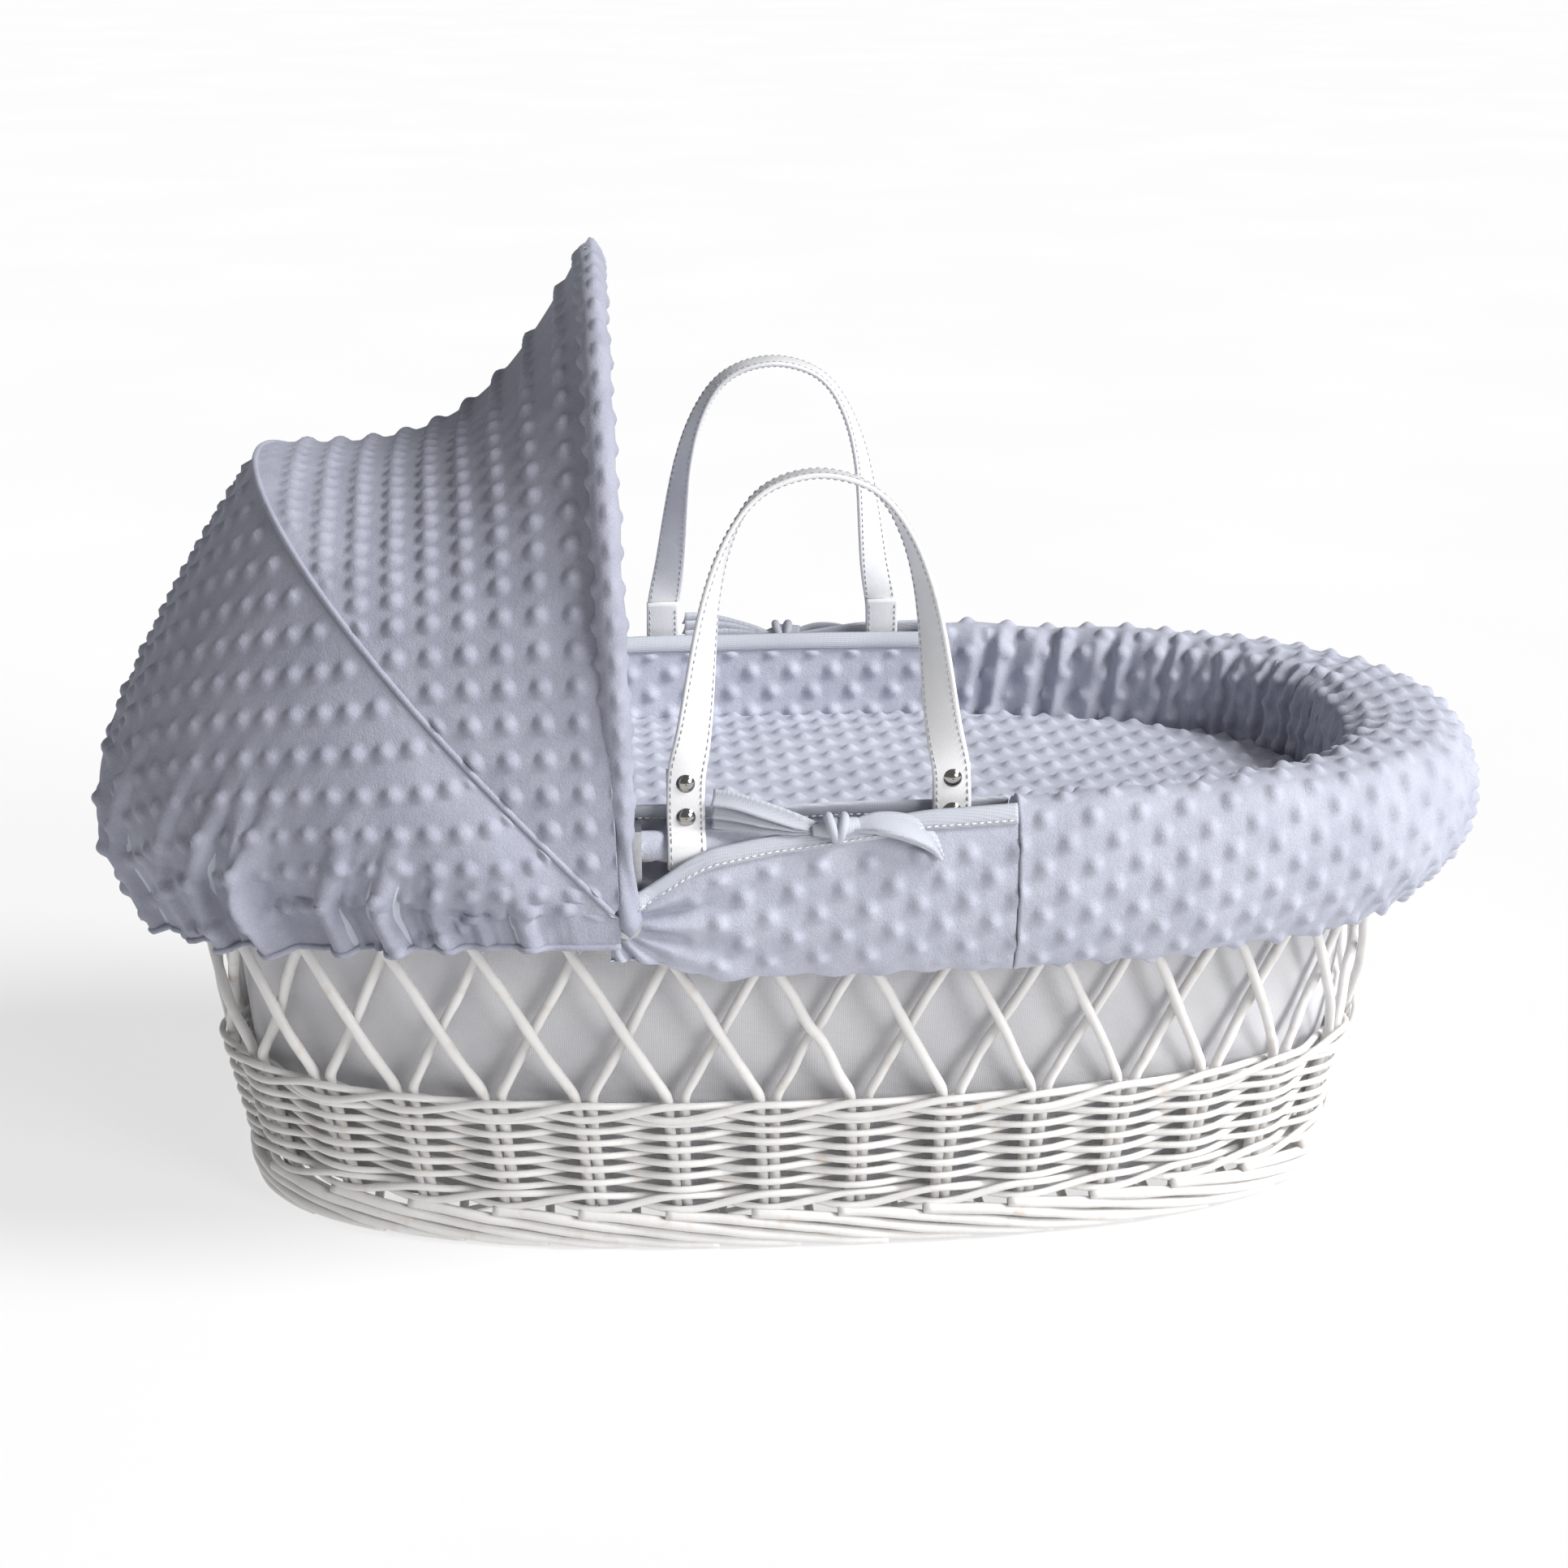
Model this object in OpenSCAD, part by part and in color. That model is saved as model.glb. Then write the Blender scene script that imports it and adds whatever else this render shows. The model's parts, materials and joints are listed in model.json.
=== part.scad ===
/* [Wicker] */
// Length of the foot of the basket, at the middle of the stakes
base_length = 684; // [560:1:760]
// Width of the foot of the basket, at the middle of the stakes
base_width = 296; // [240:1:340]
// Length at the top of the woven band
band_length = 732; // [600:1:800]
// Width at the top of the woven band
band_width = 332; // [260:1:380]
// Length of the wicker rim
rim_length = 764; // [620:1:840]
// Width of the wicker rim
rim_width = 396; // [300:1:440]
// Height of the top of the woven band
band_height = 106; // [80:1:130]
// Height of the middle of the wicker rim
rim_height = 278; // [240:1:320]
// Thickness of the wicker rim
rim_thickness = 18; // [14:1:24]
// How square the oval is, 2 for an ellipse
squareness = 2.5; // [2:0.1:3.5]
// Pairs of stakes round the basket, an even number
stake_pairs = 32; // [28:4:40]
// Thickness of a stake
stake_d = 6.2; // [5:0.1:8]
// Thickness of a weaver
weaver_d = 4.6; // [3.5:0.1:6]
// Rows of weavers in the band
weave_rows = 11; // [8:1:13]

/* [Bedding] */
// Height of the top edge of the coverlet
coverlet_height = 244; // [180:1:260]
// Thickness of the coverlet at its middle
coverlet_thickness = 34; // [20:1:50]
// Thickness of the mattress
mattress_thickness = 45; // [30:1:60]

/* [Dressing] */
// Height of the top of the dressed rim
dressed_height = 303; // [280:1:330]
// Height of the lower edge of the skirt
skirt_height = 200; // [170:1:230]
// How far the roll at the foot end stands out past the rim
foot_roll = 55; // [30:1:70]
// How far the roll at the head end stands out past the rim
head_roll = 38; // [30:1:60]
// Thickness of a dressed cloth wall
cloth = 2; // [1.5:0.1:3]

/* [Hood] */
// Distance of the hood pivots from the middle, toward the head
pivot_x = 112; // [90:1:150]
// Height of the hood pivots
pivot_z = 239; // [220:1:260]
// Half the width of the bows
bow_half_width = 217; // [208:1:230]
// Reach of the front bow from its pivots
front_reach = 350; // [300:1:380]
// Reach of the middle bow from its pivots
mid_reach = 314; // [290:1:360]
// Angle of the front bow above the level line to the head
front_angle = 88; // [75:1:95]
// Angle of the middle bow above the level line to the head
mid_angle = 47; // [35:1:60]
// Thickness of a bow
bow_d = 7; // [5:0.5:9]

/* [Handles] */
// Distance between the two feet of one handle
handle_span = 154; // [140:1:180]
// Height of the top of a handle
handle_top = 494; // [440:1:540]
// Width of the strap
strap_width = 22; // [18:1:30]
// Thickness of the strap
strap_thickness = 3; // [2:0.5:4]
// How far a handle leans inward, in degrees
handle_lean = 4; // [0:1:12]

/* [Hidden] */
$fn = 48;
stake_r = stake_d / 2;
weaver_r = weaver_d / 2;
rim_r = rim_thickness / 2;
rim_a = rim_length / 2;
rim_b = rim_width / 2;
// Heights of the layers from the floor up
hoop_height = 9;
hoop_width = 10;
slat_r = 3;
slat_z = hoop_height + slat_r + 0.1;
floor_z = slat_z + slat_r + 2 * weaver_r + 1.2;
foot_rod_r = 3.4;
foot_top = 23;
wale_step = weaver_d + 0.3;
weave_bottom = foot_top + 3 * wale_step + 3;
weave_top = band_height - 3 * wale_step;
stake_foot = 9.5;
rod_top = rim_height - rim_r - 0.4;
lean_pitches = 1.5;
// The cloth
gap = 0.4;
lining_t = 1.5;
lining_inset = stake_r * 2 + weaver_r + 1.6;
lining_top = coverlet_height - 10;
inner_hem_z = coverlet_height - 8;
side_inner = 16;
side_outer = 19;
head_side_outer = rim_r + cloth + 0.7;
foot_inner = 32;
seam_x = 113;
seam_gap = 0.5;
// The hood
hood_skin = 2;
hem_r = 8;
hem_clear = 2;
bow_clear = bow_d / 2 + 1;
hood_pull = 0.15;
hood_side = bow_half_width + 0.5;
tail_wide = rim_a + foot_roll - bow_clear - hood_skin;
tail_hem = 406;
hood_start = 26;
hem_start = 50;
eyelet_r = 8;
eyelet_t = 2.6;
clip_t = 2;
clip_width = 18;
pin_r = 3;
running = 0.15;
// The handles
foot_half = handle_span / 2;
loop_r = rim_r + 1.6 + strap_thickness / 2;
rivet_head_r = 5.5;
rivet_heights = [rim_height + 18.5, rim_height + 38.5];
ply_y = 1.9;
pinch = 13;
straight_to = 46;

// ---- helpers ----
function unit(v) = v / norm(v);
function bent(v) = sign(v) * pow(abs(v), 2 / squareness);
function oval(a, b, t) = [a * bent(cos(t)), b * bent(sin(t))];
function edge_slope(v, half) = sign(v) * pow(abs(v / half), squareness - 1) / half;
function outward(a, b, t) =
    let (p = oval(a, b, t))
    unit([edge_slope(p[0], a), edge_slope(p[1], b)]);

// The share of the way round the oval at each degree, so that stakes stand at even distances
function way_round(a, b) = [
    for (t = 0, way = 0; t <= 360; way = way + norm(oval(a, b, t + 1) - oval(a, b, t)), t = t + 1) [way, t]];
way = way_round(band_length / 2, band_width / 2);
full_way = way[360][0];
function turn_at(share) =
    let (whole = floor(share))
    360 * whole + lookup((share - whole) * full_way, way);

// The wicker wall: half length and half width at a height, and a point on it
wall_z = [0, band_height, rim_height];
wall_a = [base_length / 2, band_length / 2, rim_a];
wall_b = [base_width / 2, band_width / 2, rim_b];
function at_height(z, values) = lookup(z, [for (i = [0:2]) [wall_z[i], values[i]]]);
function pair(k) = (k + 0.5) / stake_pairs;
function wall(share, z, out = 0) =
    let (t = turn_at(share), a = at_height(z, wall_a), b = at_height(z, wall_b),
        p = oval(a, b, t) + out * outward(a, b, t))
    [p[0], p[1], z];
// The same, from an angle and always measured out from the line of the rim
function off_rim(t, out, z) =
    let (p = oval(rim_a, rim_b, t) + out * outward(rim_a, rim_b, t))
    [p[0], p[1], z];

// The angle on the rim where its length coordinate is x, on the far side
function rim_turn(x) = acos(sign(x) * pow(abs(x) / rim_a, squareness / 2));
function steps(from, to, count) = [for (i = [0:count]) from + (to - from) * i / count];

// A closed solid through a row of equal rings, each anticlockwise seen against the row's direction
module skin(rings, closed = false) {
    n = len(rings);
    m = len(rings[0]);
    walls = [
        for (i = [0:closed ? n - 1 : n - 2], j = [0:m - 1])
            let (k = (i + 1) % n, l = (j + 1) % m)
            each [[i * m + j, k * m + l, i * m + l], [i * m + j, k * m + j, k * m + l]]];
    ends = closed ? [] : [[for (j = [0:m - 1]) j], [for (j = [m - 1:-1:0]) (n - 1) * m + j]];
    polyhedron([for (ring = rings) each ring], concat(walls, ends), convexity = 10);
}

// A rod along a path; ref is any direction the path never takes
module rod(path, r, ref = [0, 0, 1], sides = 5, closed = false) {
    n = len(path);
    skin([
        for (i = [0:n - 1])
            let (
                before = closed ? path[(i + n - 1) % n] : path[max(i - 1, 0)],
                after = closed ? path[(i + 1) % n] : path[min(i + 1, n - 1)],
                along = unit(after - before),
                side = unit(cross(ref, along)),
                up = cross(along, side))
            [for (j = [0:sides - 1])
                path[i] + r * (cos(360 * j / sides) * side + sin(360 * j / sides) * up)]],
        closed);
}

// A flat strip along a path: across gives the width direction at each point
module strip(path, across, width, thickness) {
    n = len(path);
    skin([
        for (i = [0:n - 1])
            let (
                along = unit(path[min(i + 1, n - 1)] - path[max(i - 1, 0)]),
                w = unit(across[i] - (across[i] * along) * along) * width / 2,
                h = unit(cross(along, w)) * thickness / 2)
            [path[i] + w + h, path[i] - w + h, path[i] - w - h, path[i] + w - h]]);
}

module oval_plate(a, b, height) {
    linear_extrude(height) polygon([for (t = [0:5:355]) oval(a, b, t)]);
}

// An open line of points moved sideways, to give a cloth its thickness
function shifted(line, by) =
    let (n = len(line))
    [for (i = [0:n - 1])
        let (d = unit(line[min(i + 1, n - 1)] - line[max(i - 1, 0)]))
        line[i] + by * [-d[1], d[0]]];
function reversed(list) = [for (i = [len(list) - 1:-1:0]) list[i]];
// A list without this many entries at each end
function part_of(list, less) = [for (i = [less:len(list) - 1 - less]) list[i]];

// ---- wicker ----
module base_hoop() {
    a = base_length / 2 - stake_r - 1;
    b = base_width / 2 - stake_r - 1;
    color("white")
    difference() {
        oval_plate(a, b, hoop_height);
        translate([0, 0, -1]) oval_plate(a - hoop_width, b - hoop_width, hoop_height + 2);
    }
}

slat_count = 11;
slat_pitch = 54;
function slat_x(i) = (i - (slat_count - 1) / 2) * slat_pitch;

module base_slats() {
    a = base_length / 2 - stake_r - 2;
    b = base_width / 2 - stake_r - 2;
    color("white")
    for (i = [0:slat_count - 1]) {
        half = oval(a, b, rim_turn(slat_x(i) * rim_a / a))[1] - 2;
        translate([slat_x(i), -half, slat_z]) rotate([-90, 0, 0]) cylinder(r = slat_r, h = 2 * half);
    }
}

// Long rods that pass over one slat and under the next
module base_weave() {
    rows = 8;
    row_pitch = 15;
    swing = slat_r + weaver_r + 0.2;
    inside_a = base_length / 2 - hoop_width - 3 * stake_r;
    inside_b = base_width / 2 - hoop_width - 3 * stake_r;
    color("white")
    for (row = [-rows:rows]) {
        y = row * row_pitch;
        half = inside_a * pow(1 - pow(abs(y) / inside_b, squareness), 1 / squareness);
        if (half > slat_pitch) {
            reach = min(floor(half / slat_pitch), (slat_count - 1) / 2);
            rod([
                for (i = [-reach:reach])
                    [i * slat_pitch, y, slat_z + ((i + row) % 2 == 0 ? swing : -swing)]],
                weaver_r, [0, 1, 0], 4);
        }
    }
}

// Each border rod starts high beside a stake and runs down under the next three
module foot_border() {
    span = 3;
    parts = 4;
    out = stake_r + foot_rod_r + 1.8;
    color("white")
    for (k = [0:stake_pairs - 1])
        rod([
            for (i = [0:parts])
                wall(pair(k + span * i / parts),
                    foot_top - (foot_top - foot_rod_r - 0.3) * i / parts, out)],
            foot_rod_r);
}

// One stake of a pair: upright through the band, then leaning away up to the rim
module stake(k, side) {
    pair_half = (stake_r + 0.25) / full_way;
    foot = pair(k) + side * pair_half;
    ref = outward(rim_a, rim_b, turn_at(foot));
    lean_steps = 4;
    color("white")
    rod(concat(
        [wall(foot, stake_foot, 0), wall(foot, band_height, 0)],
        [for (i = [1:lean_steps])
            wall(foot + side * lean_pitches / stake_pairs * i / lean_steps,
                band_height + (rod_top - band_height) * i / lean_steps,
                -side * (stake_r + 0.3))]),
        stake_r, [ref[0], ref[1], 0]);
}

// Stakes that lean clockwise seen from above pass outside those that lean the other way
module stakes_left() {
    for (k = [0:stake_pairs - 1]) stake(k, -1);
}

module stakes_right() {
    for (k = [0:stake_pairs - 1]) stake(k, 1);
}

weave_out = stake_r + weaver_r + 1.5;

// Three rods, each passing outside two pairs and inside the third
module waling(bottom) {
    color("white")
    for (i = [0:2])
        rod([
            for (k = [0:stake_pairs - 1])
                wall(pair(k), bottom + i * wale_step, (k + i) % 3 == 0 ? -weave_out : weave_out)],
            weaver_r, sides = 4, closed = true);
}

module lower_waling() {
    waling(foot_top + foot_rod_r + weaver_r + 0.2);
}

module upper_waling() {
    waling(weave_top + wale_step / 2);
}

// Rows of weavers, each outside one pair and inside the next, and the other way in the next row
module side_weave() {
    low = weave_bottom + weaver_r;
    high = weave_top - weaver_r;
    color("white")
    for (row = [0:weave_rows - 1])
        rod([
            for (k = [0:stake_pairs - 1])
                wall(pair(k), low + (high - low) * row / (weave_rows - 1),
                    (k + row) % 2 == 0 ? weave_out : -weave_out)],
            weaver_r, sides = 4, closed = true);
}

// The rim is round and straight where a handle turns on it
module rim_border() {
    seat = strap_width + 4;
    color("white")
    union() {
        rod([for (t = [0:5:355]) off_rim(t, 0, rim_height)], rim_r, sides = 8, closed = true);
        for (x = [-1, 1], y = [-1, 1])
            translate([x * foot_half - seat / 2, y * handle_y, rim_height])
            rotate([0, 90, 0])
            cylinder(r = rim_r + 0.1, h = seat);
    }
}

// ---- inside ----
// The wall of the cotton tub, just inside the wicker, and its floor
module lining() {
    levels = [floor_z, band_height, lining_top];
    top = len(levels) - 1;
    function level_pt(t, i, more) =
        let (a = at_height(levels[i], wall_a), b = at_height(levels[i], wall_b),
            p = oval(a, b, t) - (lining_inset + more) * outward(a, b, t))
        [p[0], p[1], levels[i]];
    color("white")
    union() {
        skin([
            for (t = [0:6:354])
                concat(
                    [for (i = [0:top]) level_pt(t, i, lining_t)],
                    [for (i = [top:-1:0]) level_pt(t, i, 0)])],
            closed = true);
        translate([0, 0, floor_z])
        linear_extrude(lining_t)
        polygon([for (t = [0:6:354]) let (p = level_pt(t, 0, lining_t / 2)) [p[0], p[1]]]);
    }
}

// A level cushion that fills the tub between two heights, crowned by domed at its middle
module cushion(bottom, top, inset, domed = 0, end_inset = 0) {
    edge = 6;
    function ring(z, more) =
        let (a = at_height(z, wall_a), b = at_height(z, wall_b))
        [for (t = [0:6:354])
            let (
                in = inset + more + end_inset * toward_end(t),
                p = oval(a, b, t) - in * outward(a, b, t))
            [p[0], p[1], z]];
    function crown_ring(share) =
        [for (p = ring(top, edge)) [p[0] * share, p[1] * share, top + domed * (1 - share * share)]];
    skin(concat(
        [ring(bottom, edge), ring(bottom + edge, 0), ring(top - edge, 0), ring(top, edge)],
        domed > 0 ? [for (share = [0.75, 0.5, 0.25]) crown_ring(share)] : []));
}

soft_inset = lining_inset + lining_t + 0.5;
mattress_top = coverlet_height - coverlet_thickness + 8;
mattress_bottom = mattress_top - mattress_thickness;

module filling_pad() {
    color("gainsboro")
    cushion(floor_z + lining_t + gap, mattress_bottom - gap, soft_inset + 2);
}

module mattress() {
    color("whitesmoke")
    cushion(mattress_bottom, mattress_top, soft_inset + 3);
}

module coverlet() {
    color("lightsteelblue")
    cushion(mattress_top + gap, coverlet_height, soft_inset + 5, 8, foot_inner - side_inner);
}

// ---- dressing ----
// How far toward an end of the basket the rim is at this angle, 0 at the sides and 1 at the end
function toward_end(t) = pow(abs(cos(t)), 3);

// The line of the cloth over the rim at one angle, from the inner hem over the top to the skirt
function cover_line(inner, outer) = [
    [-inner - 2, inner_hem_z],
    [-inner - 1, inner_hem_z + 22],
    [-inner, dressed_height - 22],
    [-inner * 0.45, dressed_height - 2],
    [outer * 0.25, dressed_height],
    [outer * 0.75, dressed_height - 8],
    [outer, dressed_height - 38],
    [outer * 0.94, skirt_height + 32],
    [outer * 0.45 + 4, skirt_height + 6],
    [outer * 0.3 + 2, skirt_height]];
function around(t, line) = [for (p = line) off_rim(t, p[0], p[1])];
function cloth_ring(t, line) = around(t, concat(line, reversed(shifted(line, -cloth))));

module cover(turns, side_out, end_out) {
    color("lightsteelblue")
    skin([
        for (t = turns)
            let (e = toward_end(t))
            cloth_ring(t, cover_line(side_inner + (foot_inner - side_inner) * e,
                side_out + (end_out - side_out) * e))]);
}

// The filling between the rim and the cover
module pad(turns, side_out, end_out) {
    under = cloth + gap + 0.3;
    color("white")
    skin([
        for (t = turns)
            let (
                e = toward_end(t),
                outer = side_out + (end_out - side_out) * e,
                full = cover_line(side_inner, outer),
                inside = shifted(full, -under),
                line = [for (i = [4:8]) inside[i]],
                near = rim_r + 0.6)
            around(t, concat(line,
                [[near - 1, skirt_height + 14], [near, rim_height - 4], [near - 1, rim_height + rim_r]]))]);
}

foot_turn = rim_turn(seam_x + seam_gap);
head_turn = rim_turn(-pivot_x - 14);
foot_turns = steps(-foot_turn, foot_turn, 26);
head_turns = steps(head_turn, 360 - head_turn, 26);

module foot_cover() {
    cover(foot_turns, side_outer, foot_roll);
}

module foot_pad() {
    pad(part_of(foot_turns, 3), side_outer, foot_roll);
}

module head_cover() {
    cover(head_turns, head_side_outer, head_roll);
}

module head_pad() {
    pad(part_of(head_turns, 4), head_side_outer, head_roll);
}

// A side panel is two cloths, one inside the rim and one outside, with a slit on top for the handles
slit_in = 6;
slit_out = 7;
panel_from = rim_turn(seam_x - seam_gap);
panel_to = rim_turn(-pivot_x + 14);

function panel_turns(far) = far ? steps(panel_from, panel_to, 8) : steps(-panel_to, -panel_from, 8);

panel_full = cover_line(side_inner, side_outer);
inner_line = concat([for (i = [0:2]) panel_full[i]], [[-slit_in - 3, dressed_height - 3]]);
outer_line = concat(
    [[slit_out + 5, dressed_height - 1], [slit_out + 9.5, dressed_height - 14]],
    [for (i = [6:9]) panel_full[i]]);

module side_panel(far) {
    color("lightsteelblue")
    for (line = [inner_line, outer_line])
        skin([for (t = panel_turns(far)) cloth_ring(t, line)]);
}

module side_panel_near() {
    side_panel(false);
}

module side_panel_far() {
    side_panel(true);
}

// The folded tape along the upper edge of each cloth of a side panel
module binding(far) {
    tape = 1.2;
    edges = [
        [for (i = [2:3]) inner_line[i]],
        [for (i = [0:1]) outer_line[i]]];
    color("lightsteelblue")
    for (line = edges)
        skin([
            for (t = panel_turns(far))
                around(t, concat(shifted(line, 0.3 + tape), reversed(shifted(line, 0.3))))]);
}

module binding_near() {
    binding(false);
}

module binding_far() {
    binding(true);
}

// The elastic cord that draws the skirt in under the roll
module skirt_elastic() {
    color("white")
    rod([for (t = [0:5:355]) off_rim(t, -1, skirt_height + 4)], 1.5, sides = 5, closed = true);
}

// A knotted fabric tie on top of a side panel: a knot and two tails
module tie(far) {
    y = far ? 1 : -1;
    top = dressed_height + 5;
    color("slategray") {
        translate([0, y * (rim_b + 10), top]) scale([1.3, 0.9, 0.8]) sphere(r = 7, $fn = 12);
        for (end = [-1, 1])
            strip(
                [for (i = [0:4]) [end * (11 + 12 * i), y * (rim_b + 12 + i), top - 0.6 * i * i * (end > 0 ? 1 : 0.4)]],
                [for (i = [0:4]) [0, y * 0.4, -1]], 10, 1);
    }
}

module tie_near() {
    tie(false);
}

module tie_far() {
    tie(true);
}

// ---- hood ----
clip_y = oval(rim_a, rim_b, rim_turn(pivot_x))[1] + rim_r + 0.5;

// A clip that hooks over the rim and carries a pivot pin
module hood_clip(far) {
    low = pivot_z - 12;
    high = rim_height + rim_r + 2;
    deep = 2 * rim_r + 5;
    color("silver")
    mirror([0, far ? 0 : 1, 0])
    difference() {
        translate([-pivot_x - clip_width / 2, clip_y, low]) {
            cube([clip_width, clip_t, high - low + clip_t]);
            translate([0, -deep, high - low]) cube([clip_width, deep + 1, clip_t]);
            translate([0, -deep, high - low - 12]) cube([clip_width, clip_t, 13]);
        }
        translate([-pivot_x, 0, pivot_z]) rotate([-90, 0, 0]) cylinder(r = pin_r + 0.05, h = 600);
    }
}

module hood_clip_near() {
    hood_clip(false);
}

module hood_clip_far() {
    hood_clip(true);
}

// Pins with a head inside the clip and another outside the eyelets
module hood_pins() {
    head = 1.4;
    outside = bow_half_width + 0.3 + eyelet_t + 0.5;
    color("silver")
    for (y = [0, 1])
        mirror([0, y, 0])
        translate([-pivot_x, 0, pivot_z])
        rotate([-90, 0, 0]) {
            translate([0, 0, clip_y - head - 0.3]) cylinder(r = pin_r + 2, h = head);
            translate([0, 0, clip_y - 1]) cylinder(r = pin_r, h = outside - clip_y + 1.5);
            translate([0, 0, outside]) cylinder(r = pin_r + 3, h = head);
        }
}

// The line of a bow in its own plane: up one side, a half round, and down the other
function bow_line(reach, half, from, arc_steps = 12) =
    let (shoulder = reach - half)
    concat(
        [[-half, from], [-half, shoulder / 2]],
        [for (i = [0:arc_steps])
            [-half * cos(180 * i / arc_steps), shoulder + half * sin(180 * i / arc_steps)]],
        [[half, shoulder / 2], [half, from]]);
// A point of a bow plane, from its distance across, its distance from the pivots and how far it
// stands off the plane
function bow_pt(p, angle, off = 0) =
    [-pivot_x - p[1] * cos(angle) + off * sin(angle), p[0], pivot_z + p[1] * sin(angle) + off * cos(angle)];
function off_plane(angle) = [sin(angle), 0, cos(angle)];

module bow_rod(reach, angle, r, from, grow = 0, sides = 8) {
    rod([for (p = bow_line(reach + max(grow, 0), bow_half_width + grow, from)) bow_pt(p, angle)],
        r, off_plane(angle), sides);
}

// A bow and the flat eyelets that turn on the pins. The middle bow is narrower by mid_in, so that it
// passes inside the front one as they fold
mid_in = bow_d + 0.2;
module bow(reach, angle, narrower) {
    color("silver")
    difference() {
        union() {
            bow_rod(reach, angle, bow_d / 2, eyelet_r - 1, -narrower);
            for (y = [0, 1])
                mirror([0, y, 0])
                translate([-pivot_x, bow_half_width - narrower + 0.3, pivot_z])
                rotate([-90, 0, 0])
                cylinder(r = eyelet_r, h = eyelet_t);
        }
        translate([-pivot_x, 0, pivot_z])
            rotate([-90, 0, 0])
            cylinder(r = pin_r + running, h = 600, center = true);
    }
}

module hood_mid_bow() {
    bow(mid_reach, mid_angle, mid_in);
}

module hood_front_bow() {
    bow(front_reach, front_angle, 0);
}

module hood_front_hem() {
    color("lightsteelblue")
    difference() {
        bow_rod(front_reach, front_angle, hem_r, hem_start);
        bow_rod(front_reach, front_angle, bow_d / 2 + gap, hem_start / 2);
    }
}

module hood_mid_piping() {
    color("slategray")
    bow_rod(mid_reach, mid_angle, 1.5, hood_start + 14, bow_d, 5);
}

// The edge of a cloth that follows a bow: how far across and how far from the pivots, at an angle
// of 0 to 180 round the arch
function arch(reach, q, out) =
    [-(bow_half_width + out) * cos(q),
        (reach - bow_half_width) * pow(sin(q), 0.35) + (bow_half_width + out) * sin(q)
            + hood_start * (1 - sin(q))];

// Angles round an arch, closest together at its feet where the cloth turns most
function arch_steps(count) = [for (i = [0:count]) 90 * (1 - cos(180 * i / count))];

// The cloth between the bows, drawn in toward the middle as a stretched cloth is
function front_pt(q, share, out) =
    let (
        back = bow_pt(arch(mid_reach, q, out), mid_angle, bow_clear),
        front = bow_pt(arch(front_reach, q, out), front_angle, -hem_r - hem_clear),
        flat = back + (front - back) * share,
        pull = 1 - hood_pull * 4 * share * (1 - share) * pow(sin(q), 2))
    [-pivot_x + (flat[0] + pivot_x) * pull, flat[1], pivot_z + (flat[2] - pivot_z) * pull];

module hood_front_panel() {
    color("lightsteelblue")
    skin([
        for (q = arch_steps(18))
            concat(
                [for (share = steps(0, 1, 8)) front_pt(q, share, bow_clear + hood_skin)],
                [for (share = steps(1, 0, 8)) front_pt(q, share, bow_clear)])]);
}

// The cloth behind the middle bow: out to its widest, then in under the roll to the hem
function tail_ring(q, end, out, z) =
    [-pivot_x - 4 - (end - pivot_x - 4 + out) * pow(sin(q), 0.8),
        -(hood_side + out) * sign(cos(q)) * pow(abs(cos(q)), 0.8), z];
function tail_pt(q, share, out) =
    let (
        bend = 0.75,
        top = bow_pt(arch(mid_reach, q, out), mid_angle, -bow_clear),
        wide = tail_ring(q, tail_wide, out, 246 + 13 * sin(q)),
        hem = tail_ring(q, tail_hem, out, 228 - 30 * pow(sin(q), 2)))
    share < bend ? top + (wide - top) * share / bend : wide + (hem - wide) * (share - bend) / (1 - bend);

module hood_rear_panel() {
    color("slategray")
    skin([
        for (q = arch_steps(22))
            concat(
                [for (share = steps(0, 1, 8)) tail_pt(q, share, bow_clear)],
                [for (share = steps(1, 0, 8)) tail_pt(q, share, bow_clear + hood_skin)])]);
}

module hood_elastic() {
    color("white")
    rod([for (q = [10:8:170]) tail_pt(q, 1, 1)], 1.5);
}

// ---- handles ----
module handle_strap() {
    rise = handle_top - rim_height;
    tab = [for (up = [straight_to, pinch]) [foot_half, ply_y, rim_height + up]];
    leg = [for (p = [[0, pinch], [0, straight_to], [5, straight_to + 26], [15, rise * 0.66],
        [30, rise * 0.85], [50, rise * 0.96]]) [foot_half - p[0], -ply_y, rim_height + p[1]]];
    loop = [for (q = [-30:30:210]) [foot_half, loop_r * cos(q), rim_height - loop_r * sin(q)]];
    right = concat(tab, loop, leg);
    left = [for (p = reversed(right)) [-p[0], p[1], p[2]]];
    path = concat(right, [[0, -ply_y, handle_top]], left);
    function turned(p) = 90 * pow(max(0, (p[2] - rim_height - straight_to) / (rise - straight_to)), 0.7);
    across = [for (p = path) [(p[0] >= 0 ? 1 : -1) * cos(turned(p)), -sin(turned(p)), 0]];
    color("white")
    strip(path, across, strap_width, strap_thickness);
}

// Puts a handle that is drawn on the middle line onto its side of the rim
handle_y = oval(rim_a, rim_b, rim_turn(foot_half))[1];

module on_side(far) {
    mirror([0, far ? 1 : 0, 0])
    translate([0, -handle_y, rim_height])
    rotate([-handle_lean, 0, 0])
    translate([0, 0, -rim_height])
    children();
}

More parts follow.
